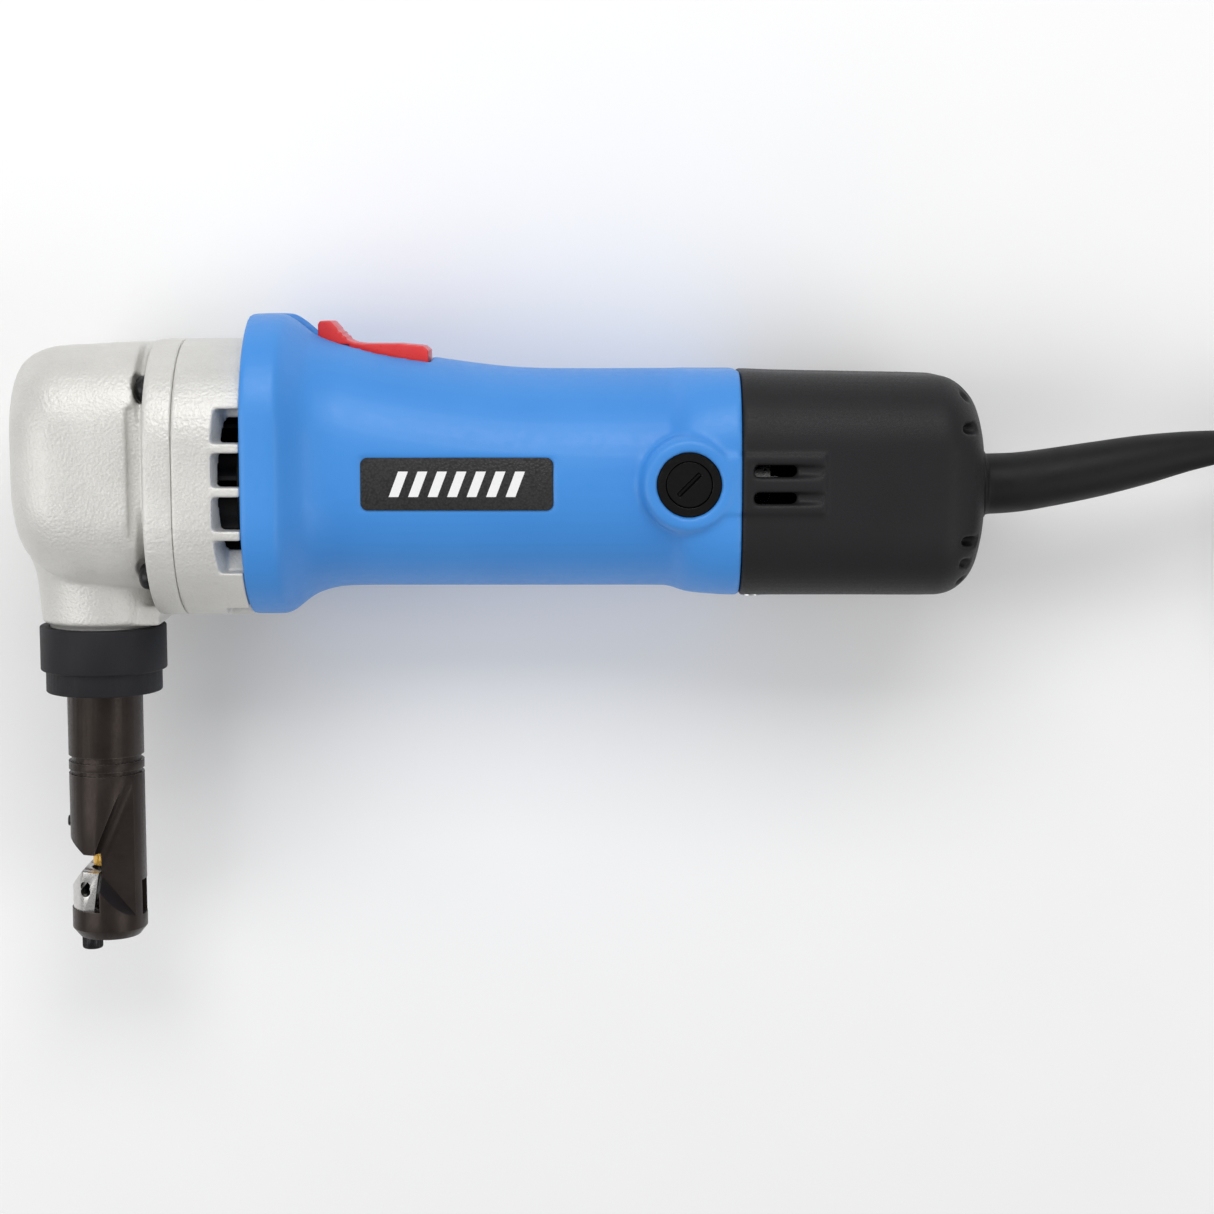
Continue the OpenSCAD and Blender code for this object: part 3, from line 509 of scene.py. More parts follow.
def prism(outline, axis, a, b):
    """A straight body: an outline in the two other axes, taken in order, from a to b."""
    along, first, second = AXES[axis]
    rings = []
    for at in (a, b):
        ring = []
        for p, q in outline:
            point = [0, 0, 0]
            point[along], point[first], point[second] = at, p, q
            ring.append(tuple(point))
        rings.append(ring)
    return joined(skin(rings))


def block(low, high):
    face = [(low[1], low[2]), (high[1], low[2]), (high[1], high[2]), (low[1], high[2])]
    return prism(face, "u", low[0], high[0])


def moulded(name, base, added, cut, voxel, smoothing, finish):
    """Joins and cuts the bodies, then rounds every edge a little, as a casting or moulding has them."""
    piece = link(name, base, finish)
    tools = []
    for operation, bodies in (("UNION", added), ("DIFFERENCE", cut)):
        for body in bodies:
            tool = bpy.data.objects.new("tool", body)
            scene.collection.objects.link(tool)
            tools.append(tool)
            step = piece.modifiers.new("cut", "BOOLEAN")
            step.operation = operation
            step.solver = "EXACT"
            step.object = tool
    remesh = piece.modifiers.new("remesh", "REMESH")
    remesh.mode = "VOXEL"
    remesh.voxel_size = voxel * MM
    remesh.use_smooth_shade = True
    soft = piece.modifiers.new("soften", "SMOOTH")
    soft.factor = 0.5
    soft.iterations = smoothing
    applied(piece)
    piece.data.shade_smooth()
    for tool in tools:
        body = tool.data
        bpy.data.objects.remove(tool)
        bpy.data.meshes.remove(body)
    print(name, "faces", len(piece.data.polygons))
    return piece


cast = Finish("cast_aluminium", Metallic=0.35)
pebble = cast.cells(0.75, "SMOOTH_F1")
fine = cast.grain(0.35, 3, 0.6)
patches = cast.grain(16, 4)
cast.set(Base_Color=cast.mix(cast.ramp(patches * 0.6 + fine * 0.4, (0.3, 0), (0.7, 1)),
                             (0.60, 0.592, 0.565), (0.73, 0.722, 0.69)),
         Roughness=cast.ramp(fine * 0.6 + patches * 0.4, (0.3, 0.34), (0.7, 0.54)))
cast.bump(pebble * 0.6 + fine * 0.4, 0.22)

SEAM_HEAD = span("gear_housing")[1].x
FLANGE_HALF = span("motor_flange")[1].z
FLANGE_LOW = span("motor_flange")[0].y
FLANGE_CORNER = 29.0
SCREW_AT = 25.1
SCREW_SEAT = 17.9
NECK_END = -40.0
SPIGOT_END = span("gear_housing")[0].y
SPIGOT_R = 14.5
RAM_BORE = 8.5
COUNTER_AT = 19.5
CORNERS = [(v, w) for v in (-SCREW_AT, SCREW_AT) for w in (-SCREW_AT, SCREW_AT)]

head_rows = [
    (-21, 20.5, -9, 14, 12), (-20.5, 25.5, -13.5, 18, 14), (-19.6, 28.9, -17, 22, 16),
    (-17.7, 32, -20.5, 26, 18), (-14, 34.7, -24, 29.4, 20), (-9, 36.3, -27, 31.6, 22),
    (-5, 36.5, -28.5, 32, 22), (0, 36.8, -29.2, 32, 22), (15.2, 37.5, -30, 32, 22.5),
    (15.7, 37.5, -30, 31.2, 26), (16.2, 37.6, -30, 30.6, 28.5), (17.5, 37.8, -30.2, 30.6, 28.5),
    (18.0, 37.9, -33, 33.6, 28.5), (18.5, 38.0, -36.7, 37.2, FLANGE_CORNER),
    (19.2, 38.1, -37.2, 38, FLANGE_CORNER), (SEAM_HEAD, 38.2, FLANGE_LOW, FLANGE_HALF, FLANGE_CORNER)]
neck = turned("v", [(SPIGOT_END, SPIGOT_R - 0.5), (SPIGOT_END + 0.5, SPIGOT_R), (NECK_END - 0.4, SPIGOT_R),
                    (NECK_END - 0.2, 16.0), (NECK_END + 0.5, 16.6), (-33, 17.1), (-28, 17.6), (-25, 18.2),
                    (-22.5, 19.2), (-20, 20.3), (-17, 20.7), (-8, 20.8), (0, 20)])
# the rough gate left on the underside between the neck and the flange
gate = prism([(-11, -3), (-13, 8), (-10, 17.6), (10, 17.6), (13, 8), (11, -3)], "v",
             NECK_END - 0.6, NECK_END + 5)
gear_case = moulded(
    "gear_case", loft(head_rows), [neck, gate],
    [turned("u", [(-18.5, 11), (-9, 11), (-8.99, 26), (14.3, 26), (14.31, 28), (20.5, 28),
                  (20.51, 29), (30, 29)]),
     rod("u", 20.4, 30, 16.9, (0, 0, COUNTER_AT)),
     rod("v", SPIGOT_END - 2, -20, RAM_BORE)]
    + [block((13.6, -20.5, min(30.0 * s, 40 * s)), (18.1, 20.5, max(30.0 * s, 40 * s))) for s in (-1, 1)]
    + [rod("u", 14.8, SCREW_SEAT, 4.3, (0, v, w)) for v, w in CORNERS],
    0.62, 3, cast)
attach(gear_case, "body")
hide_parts("gear_housing")


# ---------------------------------------------------------------- motor flange casting
# A square aluminium ring round the fan. Windows with sloping ends, open to the rear, leave
# straight ribs between them on both sides and underneath.
SEAM_FLANGE = span("motor_flange")[1].x
WINDOW_START = SEAM_HEAD + 9.6
WINDOW_PITCH = 11.6
RIB = 2.6
WINDOW_TOP = 20.3
FAN_BORE = 33.5


def window(low, high, across):
    """A cutter for one window, whose near end slopes inwards. across is the axis it lies along."""
    outline = [(WINDOW_START, FLANGE_HALF + 1.5), (WINDOW_START + 1.2, FLANGE_HALF - 1),
               (WINDOW_START + 3.6, 29), (SEAM_FLANGE + 1, 29), (SEAM_FLANGE + 1, FLANGE_HALF + 1.5)]
    if across == "v":
        return prism([(w, u) for u, w in outline], "v", low, high)
    return prism([(u, -v) for u, v in outline], "w", low, high)


windows = []
for i in range(4):
    top = WINDOW_TOP - i * WINDOW_PITCH
    side = window(top - WINDOW_PITCH + RIB, top, "v")
    other = side.copy()
    other.transform(Matrix.Translation((0, 0, 2 * HEAD_CENTRE.z)) @ Matrix.Scale(-1, 4, (0, 0, 1)))
    windows += [side, joined(other)]
for i in range(2):
    for sign in (-1, 1):
        ends = sorted((sign * (RIB / 2 + i * WINDOW_PITCH), sign * (RIB / 2 + (i + 1) * WINDOW_PITCH - RIB)))
        windows.append(window(*ends, "w"))
flange_rows = [(u, 38.2, FLANGE_LOW, FLANGE_HALF, FLANGE_CORNER)
               for u in (SEAM_HEAD, SEAM_HEAD + 6, SEAM_FLANGE)]
fan_ring = moulded(
    "fan_ring_casting", loft(flange_rows), [],
    [turned("u", [(SEAM_HEAD + 8.6, FAN_BORE), (SEAM_FLANGE + 1, FAN_BORE)]),
     turned("u", [(SEAM_HEAD - 1, 4.8), (SEAM_HEAD + 1.2, 4.8), (SEAM_HEAD + 1.21, 11), (SEAM_FLANGE, 11)]),
     rod("u", SEAM_HEAD - 1, SEAM_HEAD + 5, 7.5, (0, 0, COUNTER_AT))] + windows,
    0.5, 3, cast)
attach(fan_ring, "body")
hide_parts("motor_flange")


# ---------------------------------------------------------------- blue motor housing
# A moulded nylon tube: a square front band, a hump that carries the switch, a round grip and
# a squarer rear end with a boss for each brush.
blue = Finish("blue_moulding", Roughness=0.45, Specular_IOR_Level=0.45)
eroded = blue.grain(0.28, 3, 0.6)
flow = blue.grain(30, 3)
handled = blue.grain(2.2, 5, 0.65)
blue.set(Base_Color=blue.mix(flow, (0.040, 0.235, 0.66), (0.056, 0.285, 0.74)),
         Roughness=blue.ramp(handled * 0.7 + eroded * 0.3, (0.35, 0.36), (0.7, 0.52)))
blue.bump(eroded, 0.028)

SEAM_COVER = span("rear_cover")[0].x
BAND_HALF = span("motor_housing")[1].z
HUMP = span("motor_housing")[1].y
GRIP_R = 30.1
BAND_BACK = SEAM_FLANGE + 9.6
BRUSH_U = SEAM_COVER - 14.1
BOSS_FACE = 33.8
BOSS_R = 12.5
RIDGE_HALF = 7.6
PORT_R = 8.7
LABEL_LOW, LABEL_HIGH = span("label_plate")

shell_rows = [
    (SEAM_FLANGE, HUMP - 0.2, -36.7, BAND_HALF - 0.2, 29), (SEAM_FLANGE + 1.2, HUMP, -36.8, BAND_HALF, 29),
    (BAND_BACK - 1.5, HUMP, -36.8, BAND_HALF, 29), (BAND_BACK - 0.2, HUMP - 0.2, -36.7, 39.2, 29),
    (BAND_BACK + 1.4, HUMP - 0.9, -36.1, 37.8, 28.8), (BAND_BACK + 3.8, HUMP - 2.4, -34.2, 35.2, 28.6),
    (BAND_BACK + 6.8, HUMP - 4.5, -32.2, 32.6, 28.4), (BAND_BACK + 10.8, HUMP - 6.2, -30.8, 31, 28),
    (BAND_BACK + 15.5, HUMP - 7.3, -30.2, 30.3, 29), (BAND_BACK + 25.6, HUMP - 9.7, -GRIP_R, GRIP_R, 29.5),
    (BAND_BACK + 38.5, HUMP - 11.8, -GRIP_R, GRIP_R, 29.5), (BAND_BACK + 57.5, 30.8, -GRIP_R, GRIP_R, 29.5),
    (BAND_BACK + 70, GRIP_R, -GRIP_R, GRIP_R, 29.5), (SEAM_COVER - 21, GRIP_R, -GRIP_R, GRIP_R, 29.4),
    (SEAM_COVER - 18.5, GRIP_R, -30.3, 30.2, 28.6), (SEAM_COVER - 15.8, 30.1, -30.9, 31.2, 26),
    (SEAM_COVER - 13.4, 30.0, -31.2, 31.7, 24), (SEAM_COVER - 8, 29.9, -31.4, 32.1, 21.5),
    (SEAM_COVER - 0.6, 29.8, -31.5, 32.3, 20), (SEAM_COVER, 29.4, -31.1, 31.9, 20)]

slider_low, slider_high = span("switch_slider")
SLIDER_TRAVEL = 5.5
SLIDER_SIDE = slider_high.z + 0.4
TROUGH_FLOOR = HUMP - 8.9
POCKET_FLOOR = GRIP_R + 0.9


def both_sides(make):
    """Two like bodies, one on each side of the tool."""
    return [make(sign) for sign in (1, -1)]


def boss(sign):
    return turned("w", [(sign * 24, BOSS_R + 1.0), (sign * 31.2, BOSS_R + 0.7), (sign * 32.6, BOSS_R),
                        (sign * 33.5, BOSS_R - 0.7), (sign * BOSS_FACE, BOSS_R - 1.6)], (BRUSH_U, 0, 0))


def ridge(sign):
    near, far = sorted((sign * 24, sign * 33.2))
    return block((BRUSH_U, -RIDGE_HALF, near), (SEAM_COVER, RIDGE_HALF, far))


def port(sign):
    return rod("w", *sorted((sign * 20, sign * (BOSS_FACE + 2))), PORT_R, (BRUSH_U, 0, 0))


trough_front = prism([(slider_low.x - SLIDER_TRAVEL - 1.5, TROUGH_FLOOR), (slider_low.x + 8, TROUGH_FLOOR),
                      (slider_low.x + 8, HUMP + 3), (slider_low.x - SLIDER_TRAVEL - 7, HUMP + 3),
                      (slider_low.x - SLIDER_TRAVEL - 6, HUMP)], "w", -SLIDER_SIDE, SLIDER_SIDE)
slider_pocket = block((slider_low.x + 8.2 - SLIDER_TRAVEL - 0.5, POCKET_FLOOR, -SLIDER_SIDE),
                      (slider_high.x + 0.6, HUMP + 2, SLIDER_SIDE))
stem_way = block((slider_low.x + 6, 24, -2.6), (slider_low.x + 19, POCKET_FLOOR + 1, 2.6))
label_recess = block((LABEL_LOW.x - 0.4, LABEL_LOW.y - 0.4, LABEL_LOW.z),
                     (LABEL_HIGH.x + 0.4, LABEL_HIGH.y + 0.4, 40))
bore = turned("u", [(SEAM_FLANGE - 2, FAN_BORE), (BAND_BACK - 1, FAN_BORE), (BAND_BACK + 11, 27.7),
                    (SEAM_COVER - 4, 27.7), (SEAM_COVER - 3.9, 26.8), (SEAM_COVER + 2, 26.8)])
motor_shell = moulded(
    "motor_shell", loft(shell_rows, 6), both_sides(boss) + both_sides(ridge),
    [bore, trough_front, slider_pocket, stem_way, label_recess] + both_sides(port), 0.88, 3, blue)
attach(motor_shell, "body")
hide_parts("motor_housing")


# ---------------------------------------------------------------- label plate
# A thin grained film plate in a shallow recess, with plain white slanted bars.
film = Finish("label_film", Roughness=0.42, Specular_IOR_Level=0.3)
leather = film.cells(0.55, "SMOOTH_F1")
film.set(Base_Color=film.mix(film.ramp(leather, (0.2, 0), (0.7, 1)),
                             (0.028, 0.027, 0.028), (0.012, 0.011, 0.012)),
         Roughness=film.ramp(leather, (0.2, 0.36), (0.8, 0.62)))
film.bump(leather, 0.1)
broken_edges("label_plate", "label_film_plate", film, 0.2, 2)

ink = Finish("white_ink", Roughness=0.5)
ink.set(Base_Color=ink.mix(ink.grain(0.5, 3), (0.80, 0.80, 0.80), (0.90, 0.90, 0.90)))


def label_bars():
    """Plain slanted bars across the middle of the plate."""
    bars, thick, lean = 7, 2.6, 2.6
    middle_u = (LABEL_LOW.x + LABEL_HIGH.x) / 2
    work = bmesh.new()
    for i in range(bars):
        u = middle_u + (i - (bars - 1) / 2) * 5.2
        corners = [(u - lean / 2, -3.4), (u - lean / 2 + thick, -3.4),
                   (u + lean / 2 + thick, 3.4), (u + lean / 2, 3.4)]
        for level in (0, 1):
            w = LABEL_HIGH.z - 0.04 + 0.10 * level
            points = [work.verts.new(place(p - thick / 2, q, w)) for p, q in corners]
            if level:
                work.faces.new(points)
                for k in range(4):
                    work.faces.new((below[k], below[(k + 1) % 4], points[(k + 1) % 4], points[k]))
            else:
                work.faces.new(list(reversed(points)))
                below = points
    mesh = bpy.data.meshes.new("label_bars")
    work.to_mesh(mesh)
    work.free()
    return mesh


bars = link("label_bars", label_bars(), ink, smooth=False)
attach(bars, "body")


# ---------------------------------------------------------------- rear cover
# A black moulded cap over the switch and the second bearing, with an air slot pair on each
# side and a row of vents round its rear edge.
COVER_END = span("rear_cover")[1].x
COVER_WALL = 2.5
cover_rows = [
    (SEAM_COVER, 29.3, -31.1, 31.9, 20), (SEAM_COVER + 0.6, 29.7, -31.5, 32.3, 20),
    (SEAM_COVER + 10, 29.4, -31.5, 32.3, 20),
    (SEAM_COVER + 30, 29.0, -31.45, 32.2, 19.5), (COVER_END - 14, 28.5, -31.4, 32.0, 19),
    (COVER_END - 11, 28.0, -31.0, 31.6, 19), (COVER_END - 8, 26.4, -29.7, 30.2, 18),
    (COVER_END - 5, 23.6, -27.2, 28, 17), (COVER_END - 3, 20.6, -24.3, 25, 16),
    (COVER_END - 1.6, 17, -20.6, 21, 14), (COVER_END - 0.6, 13.2, -17, 17, 12), (COVER_END, 9, -13, 12, 9)]


def cover_pad(sign):
    near, far = sorted((sign * 24, sign * 33.2))
    return block((SEAM_COVER, -RIDGE_HALF, near), (SEAM_COVER + 22.1, RIDGE_HALF, far))


def air_slot(sign, v):
    """A slot that is deep near the seam and ramps out at its far end."""
    outline = [(SEAM_COVER + 3.1, 24), (SEAM_COVER + 14.4, 24), (SEAM_COVER + 14.5, 31.2),
               (SEAM_COVER + 21.6, 32.2), (SEAM_COVER + 23, 36), (SEAM_COVER + 3.1, 36)]
    return prism([(sign * w, u) for u, w in outline], "v", v - 1.6, v + 1.6)


def edge_vent(sign, w, v, depth):
    low, high = sorted((sign * v, sign * (v + depth)))
    return block((COVER_END - 8.6, low, w - 1.3), (COVER_END - 3.4, high, w + 1.3))


cover_vents = [edge_vent(sign, w, v, 9) for sign, v in ((1, 21.5), (-1, 25.5)) for w in range(-21, 22, 6)]
side_vents = [block((COVER_END - 8.6, v - 1.3, min(s * 24, s * 34)),
                    (COVER_END - 3.4, v + 1.3, max(s * 24, s * 34)))
              for s in (-1, 1) for v in (-21.5, -15.5, 14.5)]
cover_screw_ports = [rod("v", -34, span("cover_screws")[0].y + 1.4, 3.2, (SEAM_COVER + 3.5, 0, w))
                     for w in (-12, 12)]
inside = loft([(u, 28.4 - COVER_WALL, COVER_WALL - 31.4, 31.7 - COVER_WALL, 17) for u in
               (SEAM_COVER - 2, SEAM_COVER + 20, COVER_END - 11)])
end_cover = moulded(
    "end_cover", loft(cover_rows, 5), both_sides(cover_pad),
    [inside, rod("u", COVER_END - 12, COVER_END - 4, 21.5, (0, CORD_EXIT.y, 0)),
     rod("u", COVER_END - 6, COVER_END + 1, 8.6, (0, CORD_EXIT.y, 0))]
    + [air_slot(sign, v) for sign in (1, -1) for v in (-3.6, 3.6)]
    + cover_vents + side_vents + cover_screw_ports, 0.7, 3, black)
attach(end_cover, "body")
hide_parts("rear_cover")


# ---------------------------------------------------------------- brushes
# Each threaded black insert holds a polished cap with a screwdriver slot over the brush.
gloss = Finish("gloss_black", Roughness=0.12, Specular_IOR_Level=0.2, Coat_Weight=0.08, Coat_Roughness=0.05)
scuff = gloss.grain(1.2, 5, 0.65)
gloss.set(Base_Color=gloss.mix(scuff, (0.002, 0.002, 0.002), (0.005, 0.005, 0.005)),
          Roughness=gloss.ramp(scuff, (0.35, 0.08), (0.7, 0.24)))
gloss.bump(gloss.grain(1.6, 2), 0.02)
broken_edges("brush_holders", "brush_inserts", gloss, 0.3, 2)
broken_edges("brush_caps", "brush_cap_pair", gloss, 0.45, 4)


# ---------------------------------------------------------------- switch slider
# A smooth red moulding with a stepped thumb ramp; it slides forward to switch on.
red = Finish("red_moulding", Roughness=0.32, Specular_IOR_Level=0.5)
red_flow = red.grain(5, 3)
red.set(Base_Color=red.mix(red_flow, (0.66, 0.022, 0.026), (0.78, 0.035, 0.036)),
        Roughness=red.ramp(red.grain(0.5, 3), (0.3, 0.26), (0.7, 0.42)))
red.bump(red.grain(0.4, 2), 0.015)
broken_edges("switch_slider", "switch_thumb_slide", red, 0.4, 3)


# ---------------------------------------------------------------- lock ring
# A turned steel ring with a phosphate finish. It clamps the nose at any angle.
phosphate = Finish("phosphate_steel", Metallic=0.2, Specular_IOR_Level=0.3)
tooth_marks = phosphate.grain(0.3, 4, 0.7)
rubbed = phosphate.worn_edges(0.5)
phosphate.set(Base_Color=phosphate.mix(rubbed * 0.6, (0.015, 0.015, 0.018), (0.11, 0.11, 0.115)),
              Roughness=phosphate.ramp(tooth_marks, (0.3, 0.48), (0.7, 0.68)))
phosphate.bump(tooth_marks, 0.03)
broken_edges("lock_ring", "nose_lock_ring", phosphate, 0.45, 3)


# ---------------------------------------------------------------- die carrier
# The nose tube: blackened steel, turned, then milled flat on both sides, with the mouth cut
# away at the front.
burnt = Finish("blackened_steel", Metallic=0.75)
lathe_lines = burnt.add("ShaderNodeTexWave", {"wave_type": "BANDS", "bands_direction": "Y"},
                        {"Vector": burnt.where, "Scale": 900.0, "Distortion": 1.5, "Detail": 3.0})
heat = burnt.grain(7, 4)
burnt_worn = burnt.worn_edges(0.4, 0.08, 0.4)
oiled = burnt.mix(heat, (0.022, 0.016, 0.014), (0.046, 0.035, 0.030))
burnt.set(Base_Color=burnt.mix(burnt_worn * 0.7, oiled, (0.20, 0.175, 0.16)),
          Roughness=burnt.ramp(burnt.grain(0.8, 5, 0.65), (0.3, 0.28), (0.7, 0.46)))
burnt.bump(lathe_lines * 0.5 + burnt.grain(0.25, 3) * 0.5, 0.02)
broken_edges("die_carrier", "die_carrier_steel", burnt, 0.3, 3)




# ---------------------------------------------------------------- punch, die and their screws
# The punch is hard-coated gold. The ground die is held from below by a knurled cap screw.
def steel(name, dark, light, rough, size=1.0, metallic=1.0, depth=0.012):
    """A metal finish: two tones, two roughnesses and a fine tool-mark grain of the given size."""
    finish = Finish(name, Metallic=metallic)
    marks = finish.grain(size, 5, 0.65)
    finish.set(Base_Color=finish.mix(finish.grain(4 * size, 3), dark, light),
               Roughness=finish.ramp(marks, (0.3, rough[0]), (0.7, rough[1])))
    return finish.bump(marks, depth)


gold = steel("gold_coating", (0.60, 0.33, 0.055), (0.80, 0.50, 0.12), (0.18, 0.34), 0.6)
bright = steel("bright_steel", (0.50, 0.49, 0.475), (0.68, 0.67, 0.655), (0.20, 0.42), 0.5, depth=0.02)
screw_black = steel("black_screw", (0.018, 0.018, 0.020), (0.036, 0.036, 0.038), (0.24, 0.42), 0.6,
                    metallic=0.7)
broken_edges("punch", "punch_coated", gold, 0.2, 3)
broken_edges("die", "die_ground", bright, 0.25, 3)
broken_edges("carrier_set_screw", "nose_set_screw", screw_black, 0.15, 2)
broken_edges("die_screw", "die_cap_screw", screw_black, 0.25, 2)


def geometry_tree(name, numbers, things):
    """An empty Geometry Nodes tree with named inputs, and the way to add a node to it."""
    tree = bpy.data.node_groups.new(name, "GeometryNodeTree")
    tree.interface.new_socket(name="Geometry", in_out="INPUT", socket_type="NodeSocketGeometry")
    keys = {}
    for label, value in numbers.items():
        whole = isinstance(value, int)
        socket = tree.interface.new_socket(name=label, in_out="INPUT",
                                           socket_type="NodeSocketInt" if whole else "NodeSocketFloat")
        socket.default_value = value
        keys[label] = socket.identifier
    for label, kind in things.items():
        keys[label] = tree.interface.new_socket(name=label, in_out="INPUT", socket_type=kind).identifier
    tree.interface.new_socket(name="Geometry", in_out="OUTPUT", socket_type="NodeSocketGeometry")
    given = tree.nodes.new("NodeGroupInput")

    def add(kind, settings=None, links=None):
        node = tree.nodes.new(kind)
        for key, value in (settings or {}).items():
            setattr(node, key, value)
        for key, value in (links or {}).items():
            if isinstance(value, bpy.types.NodeSocket):
                tree.links.new(value, node.inputs[key])
            else:
                node.inputs[key].default_value = value
        return node

    return tree, keys, given, add


def close_tree(tree, given, add, instances):
    """Every tree ends in real geometry with its material set."""
    real = add("GeometryNodeRealizeInstances", links={"Geometry": instances})
    painted = add("GeometryNodeSetMaterial",
                  links={"Geometry": real.outputs[0], "Material": given.outputs["Material"]})
    end = tree.nodes.new("NodeGroupOutput")
    tree.links.new(painted.outputs[0], end.inputs[0])
    return tree


def round_row():
    """Copies of an item on a circle about X, each turned with the circle."""
    tree, keys, given, add = geometry_tree("round_row", {"Count": 12, "Seed": 0}, {
        "Item": "NodeSocketObject", "Material": "NodeSocketMaterial"})
    item = add("GeometryNodeObjectInfo", links={"Object": given.outputs["Item"]})
    line = add("GeometryNodeMeshLine", {"mode": "OFFSET"}, {"Count": given.outputs["Count"]})
    line.inputs["Offset"].default_value = (0, 0, 0)
    index = add("GeometryNodeInputIndex")
    share = add("ShaderNodeMath", {"operation": "DIVIDE"}, {0: index.outputs[0], 1: given.outputs["Count"]})
    turn = add("ShaderNodeMath", {"operation": "MULTIPLY"}, {0: share.outputs[0], 1: 2 * math.pi})
    angles = add("ShaderNodeCombineXYZ", links={"X": turn.outputs[0]})
    placed = add("GeometryNodeInstanceOnPoints", links={
        "Points": line.outputs[0], "Instance": item.outputs["Geometry"], "Rotation": angles.outputs[0]})
    return close_tree(tree, given, add, placed.outputs[0]), keys


def at_points():
    """Copies of an item on the points of the piece, each turned a little at random."""
    tree, keys, given, add = geometry_tree("at_points", {"Seed": 3}, {
        "Item": "NodeSocketObject", "Material": "NodeSocketMaterial"})
    item = add("GeometryNodeObjectInfo", links={"Object": given.outputs["Item"]})
    random = add("FunctionNodeRandomValue", {"data_type": "FLOAT"}, {"Seed": given.outputs["Seed"]})
    low, high = [s for s in random.inputs if s.type == "VALUE"][:2]
    low.default_value, high.default_value = -1.2, 1.2
    spin = [s for s in random.outputs if s.type == "VALUE"][0]
    angles = add("ShaderNodeCombineXYZ", links={"X": spin})
    placed = add("GeometryNodeInstanceOnPoints", links={
        "Points": given.outputs["Geometry"], "Instance": item.outputs["Geometry"],
        "Rotation": angles.outputs[0]})
    return close_tree(tree, given, add, placed.outputs[0]), keys


def repeated(name, maker, item_mesh, finish, base=None, move=None, **numbers):
    """A plain mesh of the copies that a tree makes of one item, moved to its place."""
    tree, keys = maker()
    item = bpy.data.objects.new("item", item_mesh)
    scene.collection.objects.link(item)
    piece = link(name, base or bpy.data.meshes.new(name), finish)
    step = piece.modifiers.new("repeat", "NODES")
    step.node_group = tree
    step[keys["Item"]] = item
    step[keys["Material"]] = finish.material
    for label, value in numbers.items():
        step[keys[label]] = value
    applied(piece)
    if move:
        piece.data.transform(move)
    bpy.data.objects.remove(item)
    piece.data.shade_smooth()
    piece.data.set_sharp_from_angle(angle=math.radians(35))
    return piece


def cornered(rows_mesh, width, segments, angle=30):
    """A mesh with its sharp edges bevelled."""
    work = bpy.data.objects.new("work", rows_mesh)
    scene.collection.objects.link(work)
    bevel = work.modifiers.new("edges", "BEVEL")
    bevel.width = width * MM
    bevel.segments = segments
    bevel.limit_method = "ANGLE"
    bevel.angle_limit = math.radians(angle)
    applied(work)
    mesh = work.data
    bpy.data.objects.remove(work)
    return mesh


def local(mesh):
    """Moves a mesh drawn in the tool's axes so that their origin is at zero."""
    mesh.transform(Matrix.Translation(-HEAD_CENTRE))
    return mesh


# the knurl round the die screw's head: fine ridges about the screw's own axis
die_screw_low, die_screw_high = span("die_screw")
HEAD_R = 2.75
ridge_item = local(prism([(HEAD_R - 0.15, -0.16), (HEAD_R + 0.14, 0.0), (HEAD_R - 0.15, 0.16)], "u", 0, 3.2))
upright = Matrix.Rotation(math.radians(90), 4, "Z")
screw_foot = place((die_screw_low.x + die_screw_high.x) / 2, die_screw_low.y + 0.4, 0)
knurl = repeated("die_screw_knurl", round_row, ridge_item, screw_black, Count=28,
                 move=Matrix.Translation(screw_foot) @ upright)
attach(knurl, "die_carrier")


# ---------------------------------------------------------------- housing screws
# Four black pan-head screws hold the head, the fan ring and the motor housing together.
def pan_head():
    """A cross-slotted pan head on a shank, along u from its seat at zero."""
    head = turned("u", [(-2.7, 0.9), (-2.6, 1.7), (-2.2, 2.7), (-1.6, 3.3), (-0.8, 3.65), (0, 3.7),
                        (0.01, 2.1), (31, 2.1)], count=32)
    work = link("screw", head, screw_black)
    cutters = []
    for turn in (0, 90):
        arm = block((-3.5, -0.45, -1.9), (-1.6, 0.45, 1.9))
        arm.transform(Matrix.Translation(HEAD_CENTRE) @ Matrix.Rotation(math.radians(turn), 4, "X")
                      @ Matrix.Translation(-HEAD_CENTRE))
        cutter = bpy.data.objects.new("arm", arm)
        scene.collection.objects.link(cutter)
        cutters.append(cutter)
        step = work.modifiers.new("slot", "BOOLEAN")
        step.operation = "DIFFERENCE"
        step.object = cutter
    applied(work)
    mesh = work.data
    for done in (*cutters, work):
        bpy.data.objects.remove(done)
    return local(mesh)


seats = bpy.data.meshes.new("screw_seats")
seats.from_pydata([place(SCREW_SEAT, v, w) for v, w in CORNERS], [], [])
case_screws = repeated("case_screws", at_points, pan_head(), screw_black, base=seats, Seed=3)
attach(case_screws, "body")
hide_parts("housing_screws")


# ---------------------------------------------------------------- cooling fan
# A black moulded centrifugal fan on the armature shaft, seen through the windows.
fan_low, fan_high = span("cooling_fan")
FAN_R = fan_high.z
FAN_BLADES = 13


def fan_blade():
    """One swept blade, standing on the back plate."""
    outline = []
    for side in (-0.55, 0.55):
        arc = []
        for k in range(9):
            reach = 9 + (FAN_R - 1.2 - 9) * k / 8
            sweep = 0.55 * (k / 8) ** 1.3
            arc.append((reach * math.cos(sweep) - side * math.sin(sweep),
                        reach * math.sin(sweep) + side * math.cos(sweep)))
        outline += arc if side < 0 else arc[::-1]
    return local(prism(outline, "u", fan_low.x + 0.3, fan_high.x - 1.2))


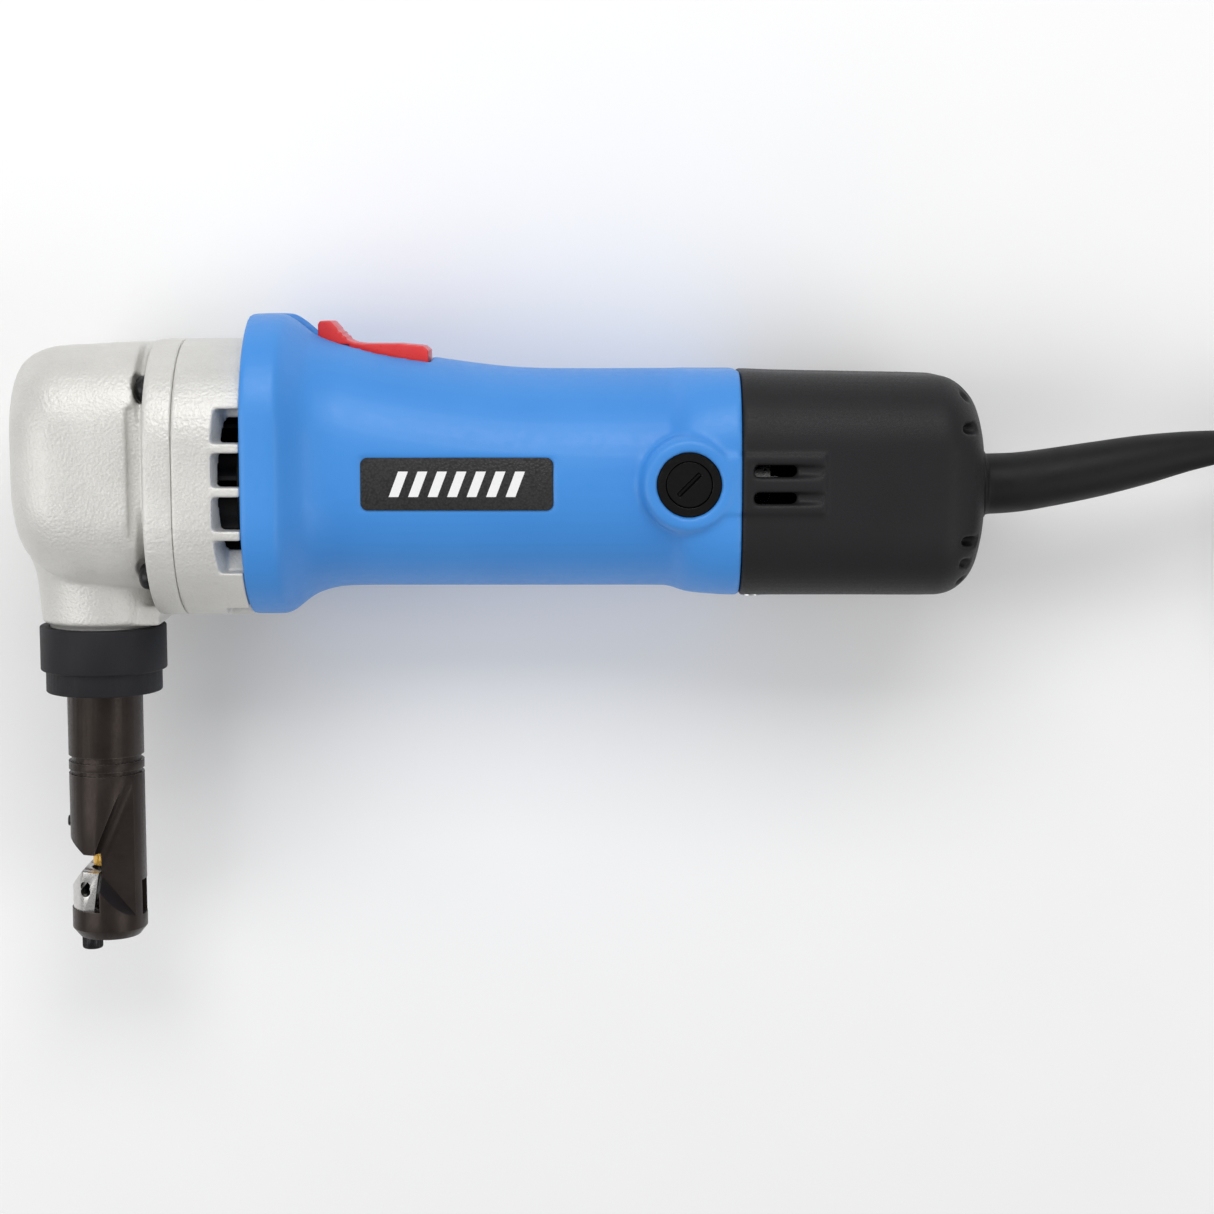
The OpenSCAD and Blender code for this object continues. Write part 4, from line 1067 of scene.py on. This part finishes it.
blades = repeated("fan_blades", round_row, fan_blade(), black, Count=FAN_BLADES,
                  move=Matrix.Translation(HEAD_CENTRE))
hub = link("fan_hub_plate", cornered(turned("u", [
    (fan_low.x, 4.1), (fan_low.x, 8.6), (fan_low.x + 0.5, 9), (fan_high.x - 3, 9.4), (fan_high.x - 1.6, 11),
    (fan_high.x - 1.4, FAN_R - 0.3), (fan_high.x - 1.1, FAN_R), (fan_high.x - 0.3, FAN_R),
    (fan_high.x, FAN_R - 0.3), (fan_high.x, 4.1)]), 0.1, 1), black)
for piece in (blades, hub):
    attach(piece, "armature")
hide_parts("cooling_fan")


# ---------------------------------------------------------------- pieces inside
# Gears, shafts, bearings, windings, brushes and the switch keep their CAD shapes.
inner_finishes = {
    "hardened_steel": steel("hardened_steel", (0.24, 0.24, 0.25), (0.36, 0.36, 0.37), (0.22, 0.40), 0.8),
    "bright_steel": bright,
    "black_screw": screw_black,
    "zinc_screw": steel("zinc_screw", (0.52, 0.53, 0.54), (0.66, 0.66, 0.66), (0.22, 0.38), 0.7),
    "plate_aluminium": steel("plate_aluminium", (0.52, 0.52, 0.52), (0.64, 0.64, 0.63), (0.26, 0.44), 1.2),
    "bronze": steel("bronze", (0.50, 0.30, 0.14), (0.63, 0.41, 0.21), (0.34, 0.55), 0.4),
    "copper_wire": steel("copper_wire", (0.48, 0.17, 0.08), (0.66, 0.28, 0.14), (0.25, 0.45), 0.5, depth=0.1),
    "lamination": steel("lamination", (0.16, 0.16, 0.17), (0.28, 0.28, 0.28), (0.35, 0.60), 0.5, depth=0.05),
    "spring_wire": steel("spring_wire", (0.45, 0.45, 0.45), (0.60, 0.60, 0.60), (0.2, 0.35), 0.5),
    "graphite": steel("graphite", (0.018, 0.018, 0.018), (0.035, 0.035, 0.035), (0.45, 0.65), 0.5,
                      metallic=0.1),
    "cream_moulding": steel("cream_moulding", (0.64, 0.60, 0.50), (0.72, 0.68, 0.58), (0.4, 0.55), 0.6,
                            metallic=0.0),
    "black_moulding": black,
    "cable_rubber": rubber,
}
slot_of = {part["node"]: part["material_slot"] for part in frame["record"]["subparts"]}
for name in ("inner_plate", "plate_screws", "crank_bearing", "crank_bush", "counter_bush", "counter_bearing",
             "crankshaft", "crank_roller", "crank_gear", "countershaft", "ram", "ram_bush", "front_bearing",
             "armature_shaft", "armature_core", "armature_windings", "commutator", "fan_baffle", "field_core",
             "field_coils", "carbon_brushes", "brush_springs", "rear_bearing", "switch_rod", "switch_block",
             "cover_screws", "cord_clamp", "clamp_screws", "inner_lead"):
    for holder in nodes[name].material_slots:
        holder.material = inner_finishes[slot_of[name]].material
